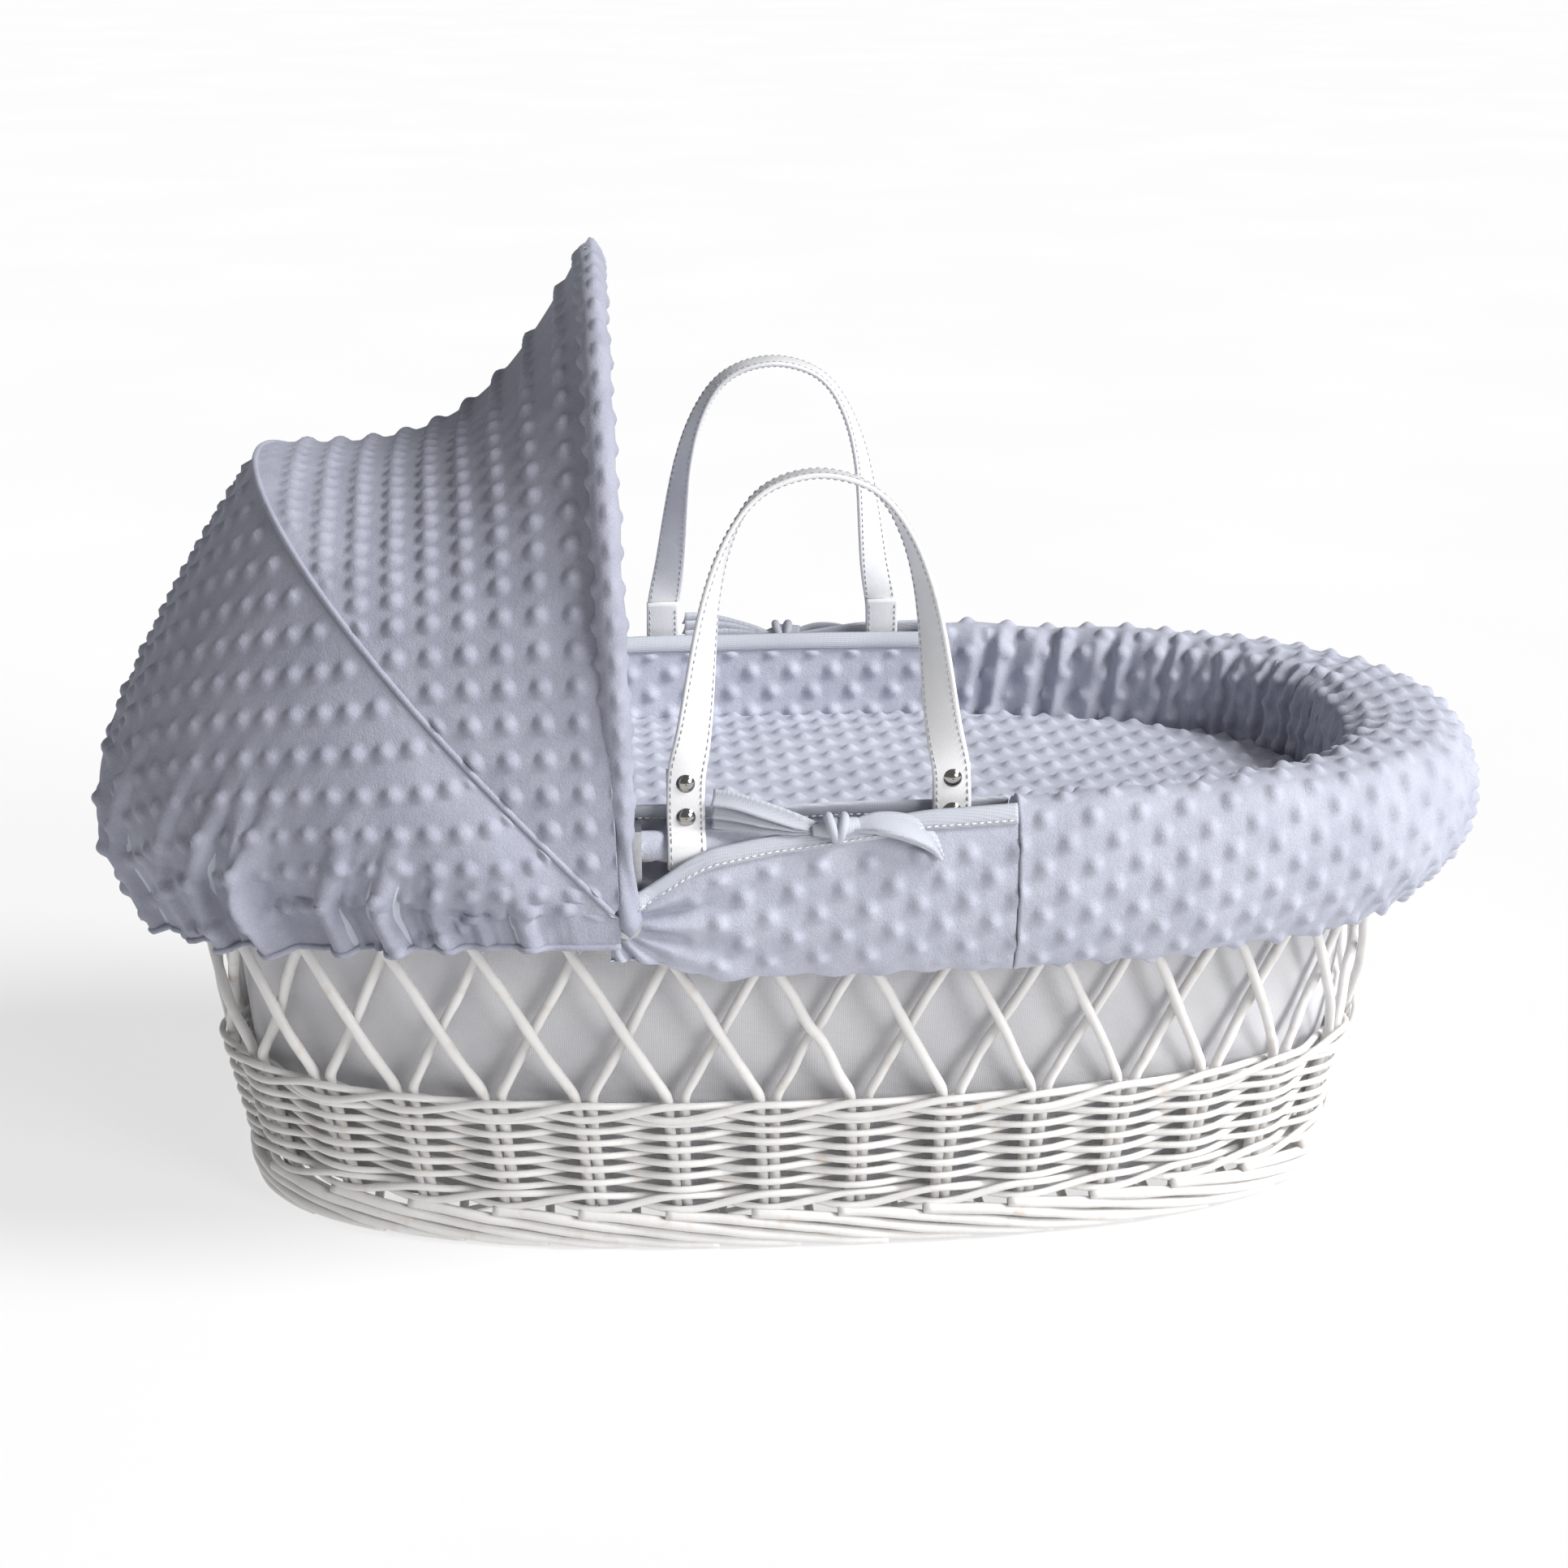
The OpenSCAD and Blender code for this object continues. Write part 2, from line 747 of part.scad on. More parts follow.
// A domed head on the outer ply of the strap; its tail is clenched between the plies
module rivets() {
    dome = 2.5;
    dome_r = (rivet_head_r * rivet_head_r + dome * dome) / (2 * dome);
    face = ply_y + strap_thickness / 2 + 0.02;
    color("silver")
    for (x = [-1, 1], z = rivet_heights)
        translate([x * foot_half, 0, z])
        rotate([90, 0, 0])
        translate([0, 0, face]) intersection() {
            translate([0, 0, dome - dome_r]) sphere(r = dome_r);
            cylinder(r = rivet_head_r, h = dome + 1);
        }
}

module handle_near_strap() {
    on_side(false) handle_strap();
}

module handle_near_rivets() {
    on_side(false) rivets();
}

module handle_far_strap() {
    on_side(true) handle_strap();
}

module handle_far_rivets() {
    on_side(true) rivets();
}

base_hoop();
base_slats();
base_weave();
foot_border();
stakes_left();
stakes_right();
lower_waling();
side_weave();
upper_waling();
rim_border();
lining();
filling_pad();
mattress();
coverlet();
foot_pad();
foot_cover();
head_pad();
head_cover();
side_panel_near();
side_panel_far();
binding_near();
binding_far();
skirt_elastic();
tie_near();
tie_far();
hood_clip_near();
hood_clip_far();
hood_pins();
hood_mid_bow();
hood_front_bow();
hood_front_hem();
hood_front_panel();
hood_mid_piping();
hood_rear_panel();
hood_elastic();
handle_near_strap();
handle_near_rivets();
handle_far_strap();
handle_far_rivets();
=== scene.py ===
"""The looks of the moses basket: wicker, cotton tub, dimple cloth dressing, hood and strap handles.

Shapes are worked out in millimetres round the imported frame, and turned to metres as each mesh is made.
"""

import json
import math

import bpy
import numpy as np
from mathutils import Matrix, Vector


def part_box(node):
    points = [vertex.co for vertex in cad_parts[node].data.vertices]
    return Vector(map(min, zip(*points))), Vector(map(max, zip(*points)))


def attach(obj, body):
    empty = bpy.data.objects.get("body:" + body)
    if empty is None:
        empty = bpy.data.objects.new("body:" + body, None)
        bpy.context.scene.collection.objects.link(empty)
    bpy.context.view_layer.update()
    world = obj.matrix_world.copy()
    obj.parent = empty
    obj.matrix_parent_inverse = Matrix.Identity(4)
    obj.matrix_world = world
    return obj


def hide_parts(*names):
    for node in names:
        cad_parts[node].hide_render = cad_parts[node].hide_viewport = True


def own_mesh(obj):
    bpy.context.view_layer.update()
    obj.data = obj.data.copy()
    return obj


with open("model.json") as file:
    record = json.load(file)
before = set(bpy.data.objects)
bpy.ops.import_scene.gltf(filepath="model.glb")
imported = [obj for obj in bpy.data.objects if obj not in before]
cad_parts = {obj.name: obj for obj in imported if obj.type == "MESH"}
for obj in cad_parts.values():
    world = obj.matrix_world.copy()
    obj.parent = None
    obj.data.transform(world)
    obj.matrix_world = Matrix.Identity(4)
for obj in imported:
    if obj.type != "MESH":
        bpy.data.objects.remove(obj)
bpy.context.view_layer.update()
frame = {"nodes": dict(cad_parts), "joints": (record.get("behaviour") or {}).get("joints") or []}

MM = 0.001
rng = np.random.default_rng(11)


def box_mm(node):
    """The lowest and highest corner of a CAD node, in millimetres."""
    low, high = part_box(node)
    return np.array(low) / MM, np.array(high) / MM


def joint_mm(name):
    """Where a joint's axis passes, in millimetres."""
    found = next(joint for joint in frame["joints"] if joint["name"] == name)
    return np.array(found["pos_m"]) / MM


# ---- sizes, in millimetres ----
# The oval wall: half length and half width at the floor, the top of the band and the rim
SQUARENESS = 2.5
RIM_R = 9
RIM_LOW, RIM_HIGH = box_mm("rim_border")
RIM_Z = (RIM_LOW[2] + RIM_HIGH[2]) / 2
RIM_A = RIM_HIGH[0] - RIM_R
RIM_B = RIM_HIGH[1] - RIM_R
BAND_Z = 106
WALL_Z = [0, BAND_Z, RIM_Z]
WALL_A = [342, 366, RIM_A]
WALL_B = [148, 166, RIM_B]
# Wicker
PAIRS = 32
STAKE_R = 3.3
STAKE_APART = 1.8
STAKE_FOOT = 9.5
STAKE_TOP = RIM_Z - 8
LEAN_PITCHES = 1.5
WEAVER_R = 2.15
WEAVE_OUT = STAKE_R + WEAVER_R + 1.2
WEAVE_ROWS = 11
WEAVE_LOW = 43
WEAVE_HIGH = 90
WALE_STEP = 4.9
LOWER_WALE_Z = 28.5
UPPER_WALE_Z = 93
FOOT_ROD_R = 3.7
FOOT_TOP = 25.5
FOOT_SPAN = 3.4
RIM_PLY_R = 4.4
RIM_PLY_OUT = 4.3
RIM_TWISTS = 36
# Tub and bedding
TUB_FLOOR = 21.5
TUB_TOP = 234
TUB_INSET = 2 * STAKE_R + WEAVER_R + 3.2
COVERLET_TOP = 246
# Dressing
DRESSED_Z = 303
SKIRT_Z = 200
INNER_HEM_Z = 236
WIDEST_Z = DRESSED_Z - 38
INNER_OUT = 16
SIDE_OUT = 19
HEAD_SIDE_OUT = 11.7
FOOT_INNER = 32
FOOT_ROLL = 55
HEAD_ROLL = 38
HEAD_SKIRT_RISE = 19
SEAM_X = 113
PANEL_SEAM_X = SEAM_X - 0.5
# Height of the top edge of an outer side panel at points along the basket
PANEL_EDGE_X = [-120, -105, -88, -70, -30, 8, 60, 113]
PANEL_EDGE_Z = [249, 257, 268, 280, 288, 293, 301, 303]
TAPE_WIDTH = 11
# Dots pressed into the cloth, and the spacing of the mesh that carries them
DOT_PITCH = 20.5
DOT_R = 6.8
DOT_RISE = 3.8
CELL = 2.1
# Hood
PIVOT_X, _, PIVOT_Z = joint_mm("hood_fold")
BOW_HALF = 217
BOW_START = 12
FRONT_REACH, FRONT_ANGLE = 350, math.radians(88)
MID_REACH, MID_ANGLE = 314, math.radians(47)
BOW_CLEAR = 4.5
CLOTH_OUT = BOW_CLEAR + 2
SEAM_HALF = 1.0
SEAM_R = 1.9
HEM_R = 8
HEM_FOOT_R = 5.5
HEM_GAP = 4
HOOD_PULL = 0.15
TAIL_WIDE = 430.5
TAIL_HEM = 406
# Handles
HANDLE_Y = -joint_mm("handle_near_swing")[1]
HANDLE_LEAN = math.radians(4)
HANDLE_TOP = 494
FOOT_HALF = 77
TAB_TOP = 46
STRAP_W = 22
STRAP_T = 3
LOOP_R = RIM_R + 1.6 + STRAP_T / 2
PLY_Y = 1.9


# ---- lines ----
def ramp(v, start, end):
    """0 before start, 1 after end and smooth between."""
    s = np.clip((np.asarray(v, float) - start) / (end - start), 0, 1)
    return s * s * (3 - 2 * s)


def unit(v):
    """The same vectors, with a length of 1."""
    return v / np.linalg.norm(v, axis=-1, keepdims=True)


def heading(path):
    """The direction that a line runs in, at each of its points."""
    return unit(np.gradient(path, axis=0))


def smoothed(points, per, axis=0):
    """A rounded line through the points, with per steps between each two."""
    p = np.moveaxis(np.asarray(points, float), axis, 0)
    p = np.concatenate([2 * p[:1] - p[1:2], p, 2 * p[-1:] - p[-2:-1]])
    share = (np.arange(per) / per).reshape((-1,) + (1,) * (p.ndim - 1))
    runs = []
    for a, b, c, d in zip(p, p[1:], p[2:], p[3:]):
        bend = (2 * a - 5 * b + 4 * c - d) * share**2
        twist = (3 * b - a - 3 * c + d) * share**3
        runs.append((2 * b + (c - a) * share + bend + twist) / 2)
    return np.moveaxis(np.concatenate([*runs, p[-2:-1]]), 0, axis)


def along(points, axis=0):
    """How far along the line each point is."""
    step = np.linalg.norm(np.diff(points, axis=axis), axis=-1)
    zero = np.zeros_like(np.take(step, [0], axis))
    return np.concatenate([zero, np.cumsum(step, axis)], axis)


def points_at(line, way, at):
    """The points of a line where way, which grows along it, comes to each value of at."""
    return np.stack([np.interp(at, way, line[:, i]) for i in range(line.shape[1])], -1)


def evenly(line, count):
    """The same line with count points at even distances."""
    way = along(line)
    return points_at(line, way, np.linspace(0, way[-1], count))


def waves(v, wavelength, seed):
    """An uneven ripple of about this wavelength, mostly between -1 and 1."""
    count = 4
    draw = np.random.default_rng(seed)
    total = np.zeros_like(np.asarray(v, float))
    for _ in range(count):
        length = wavelength * draw.uniform(0.7, 1.5)
        total += np.sin(2 * math.pi * v / length + draw.uniform(0, 2 * math.pi))
    return total / count * 1.6


def mirrored(points):
    """Points drawn on the near side, put on the far side."""
    return points * [1, -1, 1]


# ---- ovals ----
def bent(v):
    """Bends a circle's sine or cosine to the oval's squareness."""
    return np.sign(v) * np.abs(v) ** (2 / SQUARENESS)


def oval(a, b, t):
    """Points of an oval of half length a and half width b, at turns t."""
    return np.stack(np.broadcast_arrays(a * bent(np.cos(t)), b * bent(np.sin(t))), -1)


def outward(a, b, t):
    """The direction straight out of the oval at turns t."""
    p = oval(a, b, t)
    half = np.array([a, b]) if np.ndim(a) == 0 else np.stack([a, b], -1)
    return unit(np.sign(p) * np.abs(p / half) ** (SQUARENESS - 1) / half)


def off_rim(t, out, z):
    """Points measured out from the middle line of the rim, at height z."""
    t, out, z = np.broadcast_arrays(t, out, z)
    flat = oval(RIM_A, RIM_B, t) + out[..., None] * outward(RIM_A, RIM_B, t)
    return np.concatenate([flat, z[..., None]], -1).astype(float)


# How far round the top of the band each degree of turn is, and the whole way round
TURNS = np.radians(np.arange(361))
WAY = along(oval(WALL_A[1], WALL_B[1], TURNS))
GIRTH = WAY[-1]


def turn_at(share):
    """The turn that a share of the way round the oval is at."""
    share = np.asarray(share, float)
    whole = np.floor(share)
    return 2 * math.pi * whole + np.interp((share - whole) * GIRTH, WAY, TURNS)


def wall(share, z, out=0):
    """Points of the wicker wall, out from the middle of the stakes."""
    share, z, out = np.broadcast_arrays(share, z, out)
    t = turn_at(share)
    a = np.interp(z, WALL_Z, WALL_A)
    b = np.interp(z, WALL_Z, WALL_B)
    flat = oval(a, b, t) + out[..., None] * outward(a, b, t)
    return np.concatenate([flat, z[..., None]], -1).astype(float)


def rim_turn(x):
    """The turn on the far side of the rim whose length coordinate is x."""
    return math.acos(math.copysign((abs(x) / RIM_A) ** (SQUARENESS / 2), x))


def pair(k):
    """The share of the way round at which a pair of stakes stands."""
    return (np.asarray(k) + 0.5) / PAIRS


# ---- meshes ----
class Shape:
    """Gathers grids of points, in millimetres, into one mesh."""

    def __init__(self):
        self.points = []
        self.cloth = []
        self.faces = []
        self.count = 0

    def grid(self, points, cloth=None, rows_closed=False, round_closed=False, ends=False, flip=False):
        """Adds a grid of quads, with its flat coordinates; ends closes the first and last row."""
        n, m = points.shape[:2]
        index = self.count + np.arange(n * m).reshape(n, m)
        first, last = index[0].tolist(), index[-1].tolist()
        if rows_closed:
            index = np.vstack([index, index[:1]])
        if round_closed:
            index = np.hstack([index, index[:, :1]])
        corners = [index[:-1, :-1], index[1:, :-1], index[1:, 1:], index[:-1, 1:]]
        if flip:
            corners.reverse()
        self.faces += np.stack(corners, -1).reshape(-1, 4).tolist()
        if ends:
            self.faces += [first[::-1], last] if flip else [first, last[::-1]]
        self.points.append(points.reshape(-1, 3))
        self.cloth.append((points[..., :2] if cloth is None else cloth).reshape(-1, 2))
        self.count += n * m

    def tube(self, path, radius, ref=(0, 0, 1), sides=8, closed=False):
        """Adds a rod along a path. ref is any direction that the path never takes."""
        path = np.asarray(path, float)
        run = unit(np.roll(path, -1, 0) - np.roll(path, 1, 0)) if closed else heading(path)
        side = unit(np.cross(np.broadcast_to(ref, path.shape), run))
        up = np.cross(run, side)
        turn = 2 * math.pi * np.arange(sides) / sides
        radius = np.broadcast_to(radius, len(path))[:, None, None]
        ring = np.cos(turn)[None, :, None] * side[:, None] + np.sin(turn)[None, :, None] * up[:, None]
        self.grid(path[:, None] + radius * ring, rows_closed=closed, round_closed=True, ends=not closed)


def piece(name, shape, look, body, stands_for=()):
    """Makes the shape's mesh and puts it on its body, in place of the CAD nodes it stands for."""
    mesh = bpy.data.meshes.new(name)
    mesh.from_pydata((np.concatenate(shape.points) * MM).tolist(), [], shape.faces)
    mesh.polygons.foreach_set("use_smooth", [True] * len(mesh.polygons))
    corner = np.zeros(len(mesh.loops), int)
    mesh.loops.foreach_get("vertex_index", corner)
    cloth = np.concatenate(shape.cloth)[corner] * MM
    mesh.uv_layers.new(name="cloth").data.foreach_set("uv", cloth.astype(np.float32).ravel())
    mesh.materials.append(look)
    mesh.update()
    made = bpy.data.objects.new(name, mesh)
    bpy.context.scene.collection.objects.link(made)
    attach(made, body)
    if stands_for:
        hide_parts(*stands_for)
    return made


# ---- cloth ----
def normals(points):
    """The direction that a grid of points faces, at each point."""
    across = np.cross(np.gradient(points, axis=0), np.gradient(points, axis=1))
    return across / np.maximum(np.linalg.norm(across, axis=-1, keepdims=True), 1e-9)


def dots(points, cloth, turned):
    """How high round dots stand at each point of a cloth, from its coordinates in the flat."""
    p_i, p_j = np.gradient(points, axis=0), np.gradient(points, axis=1)
    c_i, c_j = np.gradient(cloth, axis=0), np.gradient(cloth, axis=1)
    area = c_i[..., 0] * c_j[..., 1] - c_i[..., 1] * c_j[..., 0]
    area = np.where(np.abs(area) < 1e-3, 1e-3, area)[..., None]
    p_u = (p_i * c_j[..., 1:] - p_j * c_i[..., 1:]) / area
    p_v = (p_j * c_i[..., :1] - p_i * c_j[..., :1]) / area
    turn = math.pi / 4 if turned else 0
    spin = np.array([[math.cos(turn), -math.sin(turn)], [math.sin(turn), math.cos(turn)]])
    lattice = cloth @ spin / DOT_PITCH
    off = (lattice - np.round(lattice)) @ spin.T * DOT_PITCH
    away = np.linalg.norm(p_u * off[..., :1] + p_v * off[..., 1:], axis=-1)
    return DOT_RISE * np.clip(1 - (away / DOT_R) ** 2, 0, None) ** 1.6


def dimpled(points, cloth, turned=True, side=1, fade=1):
    """The points with dots raised out of the cloth, on the side that its normals face or the other."""
    return points + normals(points) * (side * fade * dots(points, cloth, turned))[..., None]


# ---- materials ----
class Look:
    """A material of one Principled shader, with colour and bump from textures."""

    def __init__(self, name, roughness, **sockets):
        self.material = bpy.data.materials.new(name)
        self.material.use_nodes = True
        self.tree = self.material.node_tree
        self.shader = self.tree.nodes["Principled BSDF"]
        self.shader.inputs["Roughness"].default_value = roughness
        for socket, value in sockets.items():
            self.shader.inputs[socket.replace("_", " ")].default_value = value
        self.place = self.tree.nodes.new("ShaderNodeTexCoord")
        self.last_bump = None

    def node(self, kind, links=(), **values):
        """Adds a node: links gives the sources of its inputs, values its inputs and settings by name."""
        made = self.tree.nodes.new(kind)
        for name, value in values.items():
            if name in made.inputs:
                made.inputs[name].default_value = value
            else:
                setattr(made, name, value)
        for socket, source in dict(links).items():
            self.tree.links.new(source, made.inputs[socket])
        return made

    def noise(self, scale, detail):
        """Noise with this many features a metre."""
        place = self.place.outputs["Object"]
        made = self.node("ShaderNodeTexNoise", {"Vector": place}, Scale=scale, Detail=detail)
        return made.outputs["Fac"]

    def weave(self, pitch):
        """Crossing threads of a plain weave, pitch metres apart."""
        own_pitch = 0.314
        place = self.place.outputs["UV"]
        bands = []
        for direction in "XY":
            band = self.node("ShaderNodeTexWave", {"Vector": place}, Scale=own_pitch / pitch)
            band.bands_direction = direction
            bands.append(band.outputs["Fac"])
        both = self.node("ShaderNodeMath", {0: bands[0], 1: bands[1]}, operation="MULTIPLY")
        return both.outputs[0]

    def colours(self, factor, stops):
        """Colours between stops, as pairs of place and colour."""
        made = self.node("ShaderNodeValToRGB", {"Fac": factor})
        while len(made.color_ramp.elements) < len(stops):
            made.color_ramp.elements.new(0.5)
        for element, (place, colour) in zip(made.color_ramp.elements, stops):
            element.position = place
            element.color = (*colour, 1)
        return made.outputs["Color"]

    def multiplied(self, share, a, b):
        """Colour a, this far on the way to its product with colour b."""
        made = self.node("ShaderNodeMix", data_type="RGBA", blend_type="MULTIPLY")
        made.inputs[0].default_value = share
        self.tree.links.new(a, made.inputs[6])
        self.tree.links.new(b, made.inputs[7])
        return made.outputs[2]

    def paint(self, colour):
        """Makes this the colour of the surface."""
        self.tree.links.new(colour, self.shader.inputs["Base Color"])
        return self

    def rough(self, factor, low, high):
        """Lets the roughness run from low to high with a factor."""
        made = self.node("ShaderNodeMapRange", {"Value": factor})
        made.inputs["To Min"].default_value = low
        made.inputs["To Max"].default_value = high
        self.tree.links.new(made.outputs[0], self.shader.inputs["Roughness"])
        return self

    def bump(self, height, distance, strength=1.0):
        """Adds relief of this depth in metres over any that is there already."""
        links = {"Height": height}
        if self.last_bump:
            links["Normal"] = self.last_bump.outputs[0]
        self.last_bump = self.node("ShaderNodeBump", links, Distance=distance, Strength=strength)
        self.tree.links.new(self.last_bump.outputs[0], self.shader.inputs["Normal"])
        return self


def wicker_look():
    """Worn white paint over willow, with bare spots."""
    look = Look("painted_wicker", 0.42, Specular_IOR_Level=0.4)
    body = look.colours(look.noise(30, 4), [(0.3, (0.70, 0.685, 0.67)), (0.7, (0.79, 0.78, 0.77))])
    bare = look.colours(look.noise(75, 2), [(0.62, (1, 1, 1)), (0.78, (0.88, 0.78, 0.70))])
    look.paint(look.multiplied(0.8, body, bare))
    look.rough(look.noise(120, 2), 0.34, 0.55)
    look.bump(look.noise(260, 5), 0.0006, 0.5)
    return look.bump(look.noise(900, 2), 0.0002, 0.4).material


def velour_look(name, painted_light_tint=(1, 1, 1)):
    """Short grey pile with a soft sheen; the tint scales its colour, darker for painted shade or lighter for
    painted light.
    """
    look = Look(name, 0.9, Sheen_Weight=0.3, Sheen_Roughness=0.35, Specular_IOR_Level=0.2)
    look.shader.inputs["Sheen Tint"].default_value = (0.8, 0.85, 0.95, 1)
    shade = [np.array(c) * painted_light_tint for c in [(0.43, 0.44, 0.52), (0.47, 0.48, 0.56), (0.51, 0.52, 0.60)]]
    pile = look.colours(look.noise(38, 5), [(0.3, shade[0]), (0.5, shade[1]), (0.68, shade[2])])
    fine = look.colours(look.noise(900, 2), [(0.3, (0.86, 0.87, 0.88)), (0.7, (1, 1, 1))])
    look.paint(look.multiplied(1.0, pile, fine))
    look.bump(look.noise(1100, 2), 0.0006, 0.6)
    return look.bump(look.noise(160, 3), 0.0012, 0.35).material


def cotton_look(name, low, high, pitch, roughness=0.8):
    """Plain woven cloth."""
    look = Look(name, roughness, Sheen_Weight=0.1, Specular_IOR_Level=0.25)
    look.paint(look.colours(look.noise(22, 3), [(0.3, low), (0.7, high)]))
    look.bump(look.weave(pitch), 0.0003, 0.7)
    return look.bump(look.noise(60, 3), 0.001, 0.3).material


def leatherette_look():
    """White coated strap with a fine grain."""
    look = Look("white_leatherette", 0.36, Specular_IOR_Level=0.5, Coat_Weight=0.08)
    look.paint(look.colours(look.noise(45, 3), [(0.3, (0.73, 0.73, 0.74)), (0.7, (0.80, 0.80, 0.81))]))
    look.rough(look.noise(300, 3), 0.3, 0.45)
    cells = look.node("ShaderNodeTexVoronoi", {"Vector": look.place.outputs["Object"]}, Scale=1400)
    return look.bump(cells.outputs["Distance"], 0.00012, 0.6).material


def metal_look(name, low, high, roughness):
    """Plated metal with faint wear."""
    look = Look(name, roughness, Metallic=1.0)
    look.paint(look.colours(look.noise(200, 3), [(0.3, low), (0.7, high)]))
    look.rough(look.noise(1500, 2), roughness * 0.7, roughness * 1.3)
    return look.bump(look.noise(2500, 2), 0.00003, 0.5).material


def thread_look(name, low, high):
    """Twisted sewing thread."""
    look = Look(name, 0.6)
    look.paint(look.colours(look.noise(800, 2), [(0.3, low), (0.7, high)]))
    return look.bump(look.noise(3000, 2), 0.0001, 0.5).material


WICKER = wicker_look()
VELOUR = velour_look("grey_dimple_velour")
# The hood's cloth is the same velour as the rest, tinted darker as painted shade
HOOD_VELOUR_PAINTED_SHADE = velour_look("hood_velour_painted_shade", (0.77, 0.77, 0.79))
# The coverlet and the inner side cloths are the same velour, tinted lighter as painted light
VELOUR_PAINTED_LIGHT = velour_look("velour_painted_light", (1.08, 1.08, 1.07))
COTTON = cotton_look("white_cotton", (0.60, 0.60, 0.63), (0.66, 0.66, 0.68), 0.0013)
LINING = cotton_look("hood_back", (0.50, 0.53, 0.60), (0.58, 0.61, 0.67), 0.0009)
TAPE = cotton_look("grey_cotton_tape", (0.49, 0.51, 0.57), (0.54, 0.56, 0.62), 0.0007)
TICKING = cotton_look("mattress_ticking", (0.70, 0.70, 0.71), (0.78, 0.78, 0.79), 0.0014)
WADDING = cotton_look("fibre_wadding", (0.74, 0.74, 0.74), (0.83, 0.83, 0.83), 0.004, 0.95)
ELASTIC = cotton_look("braided_elastic", (0.74, 0.74, 0.75), (0.82, 0.82, 0.83), 0.0012, 0.7)
LEATHER = leatherette_look()
# The nickel's base colour is held dark as a painted dark reflection on the rivets
NICKEL = metal_look("polished_nickel", (0.36, 0.34, 0.32), (0.46, 0.44, 0.42), 0.14)
STEEL = metal_look("bow_steel", (0.48, 0.49, 0.50), (0.60, 0.61, 0.62), 0.35)
THREAD = thread_look("sewing_thread", (0.74, 0.74, 0.75), (0.86, 0.86, 0.87))
STRAP_THREAD = thread_look("strap_thread", (0.36, 0.36, 0.38), (0.50, 0.50, 0.52))


# ---- wicker ----
def wobbled(path, size, seed):
    """A path with the slight bends of a natural rod."""
    way = along(path)
    offsets = np.stack([waves(way, 90, seed + i) for i in range(3)], -1)
    return path + size * offsets


def rod_radius(count, radius, seed):
    """The radius of a natural rod at each point: each rod has its own, and it isn't quite even."""
    draw = np.random.default_rng(seed)
    return radius * draw.uniform(0.93, 1.07) * (1 + 0.05 * waves(np.arange(count), 9, seed))


def rods_piece(name, shape, node):
    """Puts painted rods in the place of a CAD node."""
    piece(name, shape, WICKER, "basket", [node])


def stakes(node, side):
    """The stakes that lean one way: upright through the band, then away up to the rim."""
    shape = Shape()
    height = np.linspace(STAKE_FOOT, BAND_Z - 4, 9)
    closer = 1.5 * ramp(height, 100, 60)
    s = np.linspace(0.02, 1, 22)
    lean_z = BAND_Z + (STAKE_TOP - BAND_Z) * s
    lean_out = -side * (STAKE_R + 0.4) * ramp(s, 0, 0.2)
    for k in range(PAIRS):
        foot = pair(k) + side * (STAKE_R + STAKE_APART) / GIRTH
        upright = wall(foot - side * closer / GIRTH, height)
        leaning = wall(foot + side * LEAN_PITCHES / PAIRS * s, lean_z, lean_out)
        path = smoothed(np.concatenate([upright, leaning]), 3)
        seed = 100 * (side + 2) + k
        ref = (*outward(RIM_A, RIM_B, turn_at(foot)), 0)
        shape.tube(wobbled(path, 0.5, seed), rod_radius(len(path), STAKE_R, seed), ref, sides=12)
    rods_piece(node + "_rods", shape, node)


def foot_border():
    """Long rods that start high beside a stake and run down under the next three."""
    shape = Shape()
    s = np.linspace(-0.06, 1, 40)
    z = FOOT_TOP - (FOOT_TOP - FOOT_ROD_R - 0.2) * ramp(s, -0.15, 0.95)
    out = STAKE_R + FOOT_ROD_R + 0.2 + np.sin(math.pi * s)
    for k in range(PAIRS):
        path = wall(pair(k) + FOOT_SPAN * s / PAIRS, z, out)
        seed = 500 + k
        radius = rod_radius(len(path), FOOT_ROD_R, seed) * (1 - 0.12 * s)
        shape.tube(wobbled(path, 0.4, seed), radius, sides=12)
    rods_piece("foot_border_rods", shape, "foot_border")


def woven(shape, height, out, seed, radius=WEAVER_R):
    """Adds one rod all the way round. height and out give its place at each pair."""
    steps = 8
    rough = np.stack([pair(np.arange(PAIRS)), height, out], -1)
    rough = np.concatenate([rough, [[rough[0, 0] + 1, *rough[0, 1:]]]])
    fine = np.linspace(0, PAIRS, PAIRS * steps, endpoint=False)
    low = np.floor(fine).astype(int)
    s = fine - low
    blend = s * s * (3 - 2 * s)
    z, away = (rough[low, 1:] * (1 - blend[:, None]) + rough[low + 1, 1:] * blend[:, None]).T
    share = rough[low, 0] * (1 - s) + rough[low + 1, 0] * s
    path = wobbled(wall(share, z, away), 0.35, seed)
    path[:, 2] += 0.4 * waves(share * PAIRS, 2.3, seed + 7)
    shape.tube(path, rod_radius(len(path), radius, seed), sides=10, closed=True)


def waling(node, bottom):
    """Three rods twisted together, each passing outside two pairs and inside the third."""
    shape = Shape()
    lift = np.array([1.0, 0.0, 2.0]) * WALE_STEP
    for i in range(3):
        turn = (np.arange(PAIRS) + i) % 3
        out = np.where(turn == 0, -WEAVE_OUT, WEAVE_OUT)
        woven(shape, bottom + lift[turn], out, int(700 + bottom) + i, WEAVER_R * 1.08)
    rods_piece(node + "_rods", shape, node)


def side_weave():
    """Rows of weavers, each outside one pair and inside the next, and the other way in the next row."""
    shape = Shape()
    for row, z in enumerate(np.linspace(WEAVE_LOW, WEAVE_HIGH, WEAVE_ROWS)):
        out = np.where((np.arange(PAIRS) + row) % 2 == 0, WEAVE_OUT, -WEAVE_OUT)
        woven(shape, np.full(PAIRS, z), out, 800 + row)
    rods_piece("side_weave_rods", shape, "side_weave")


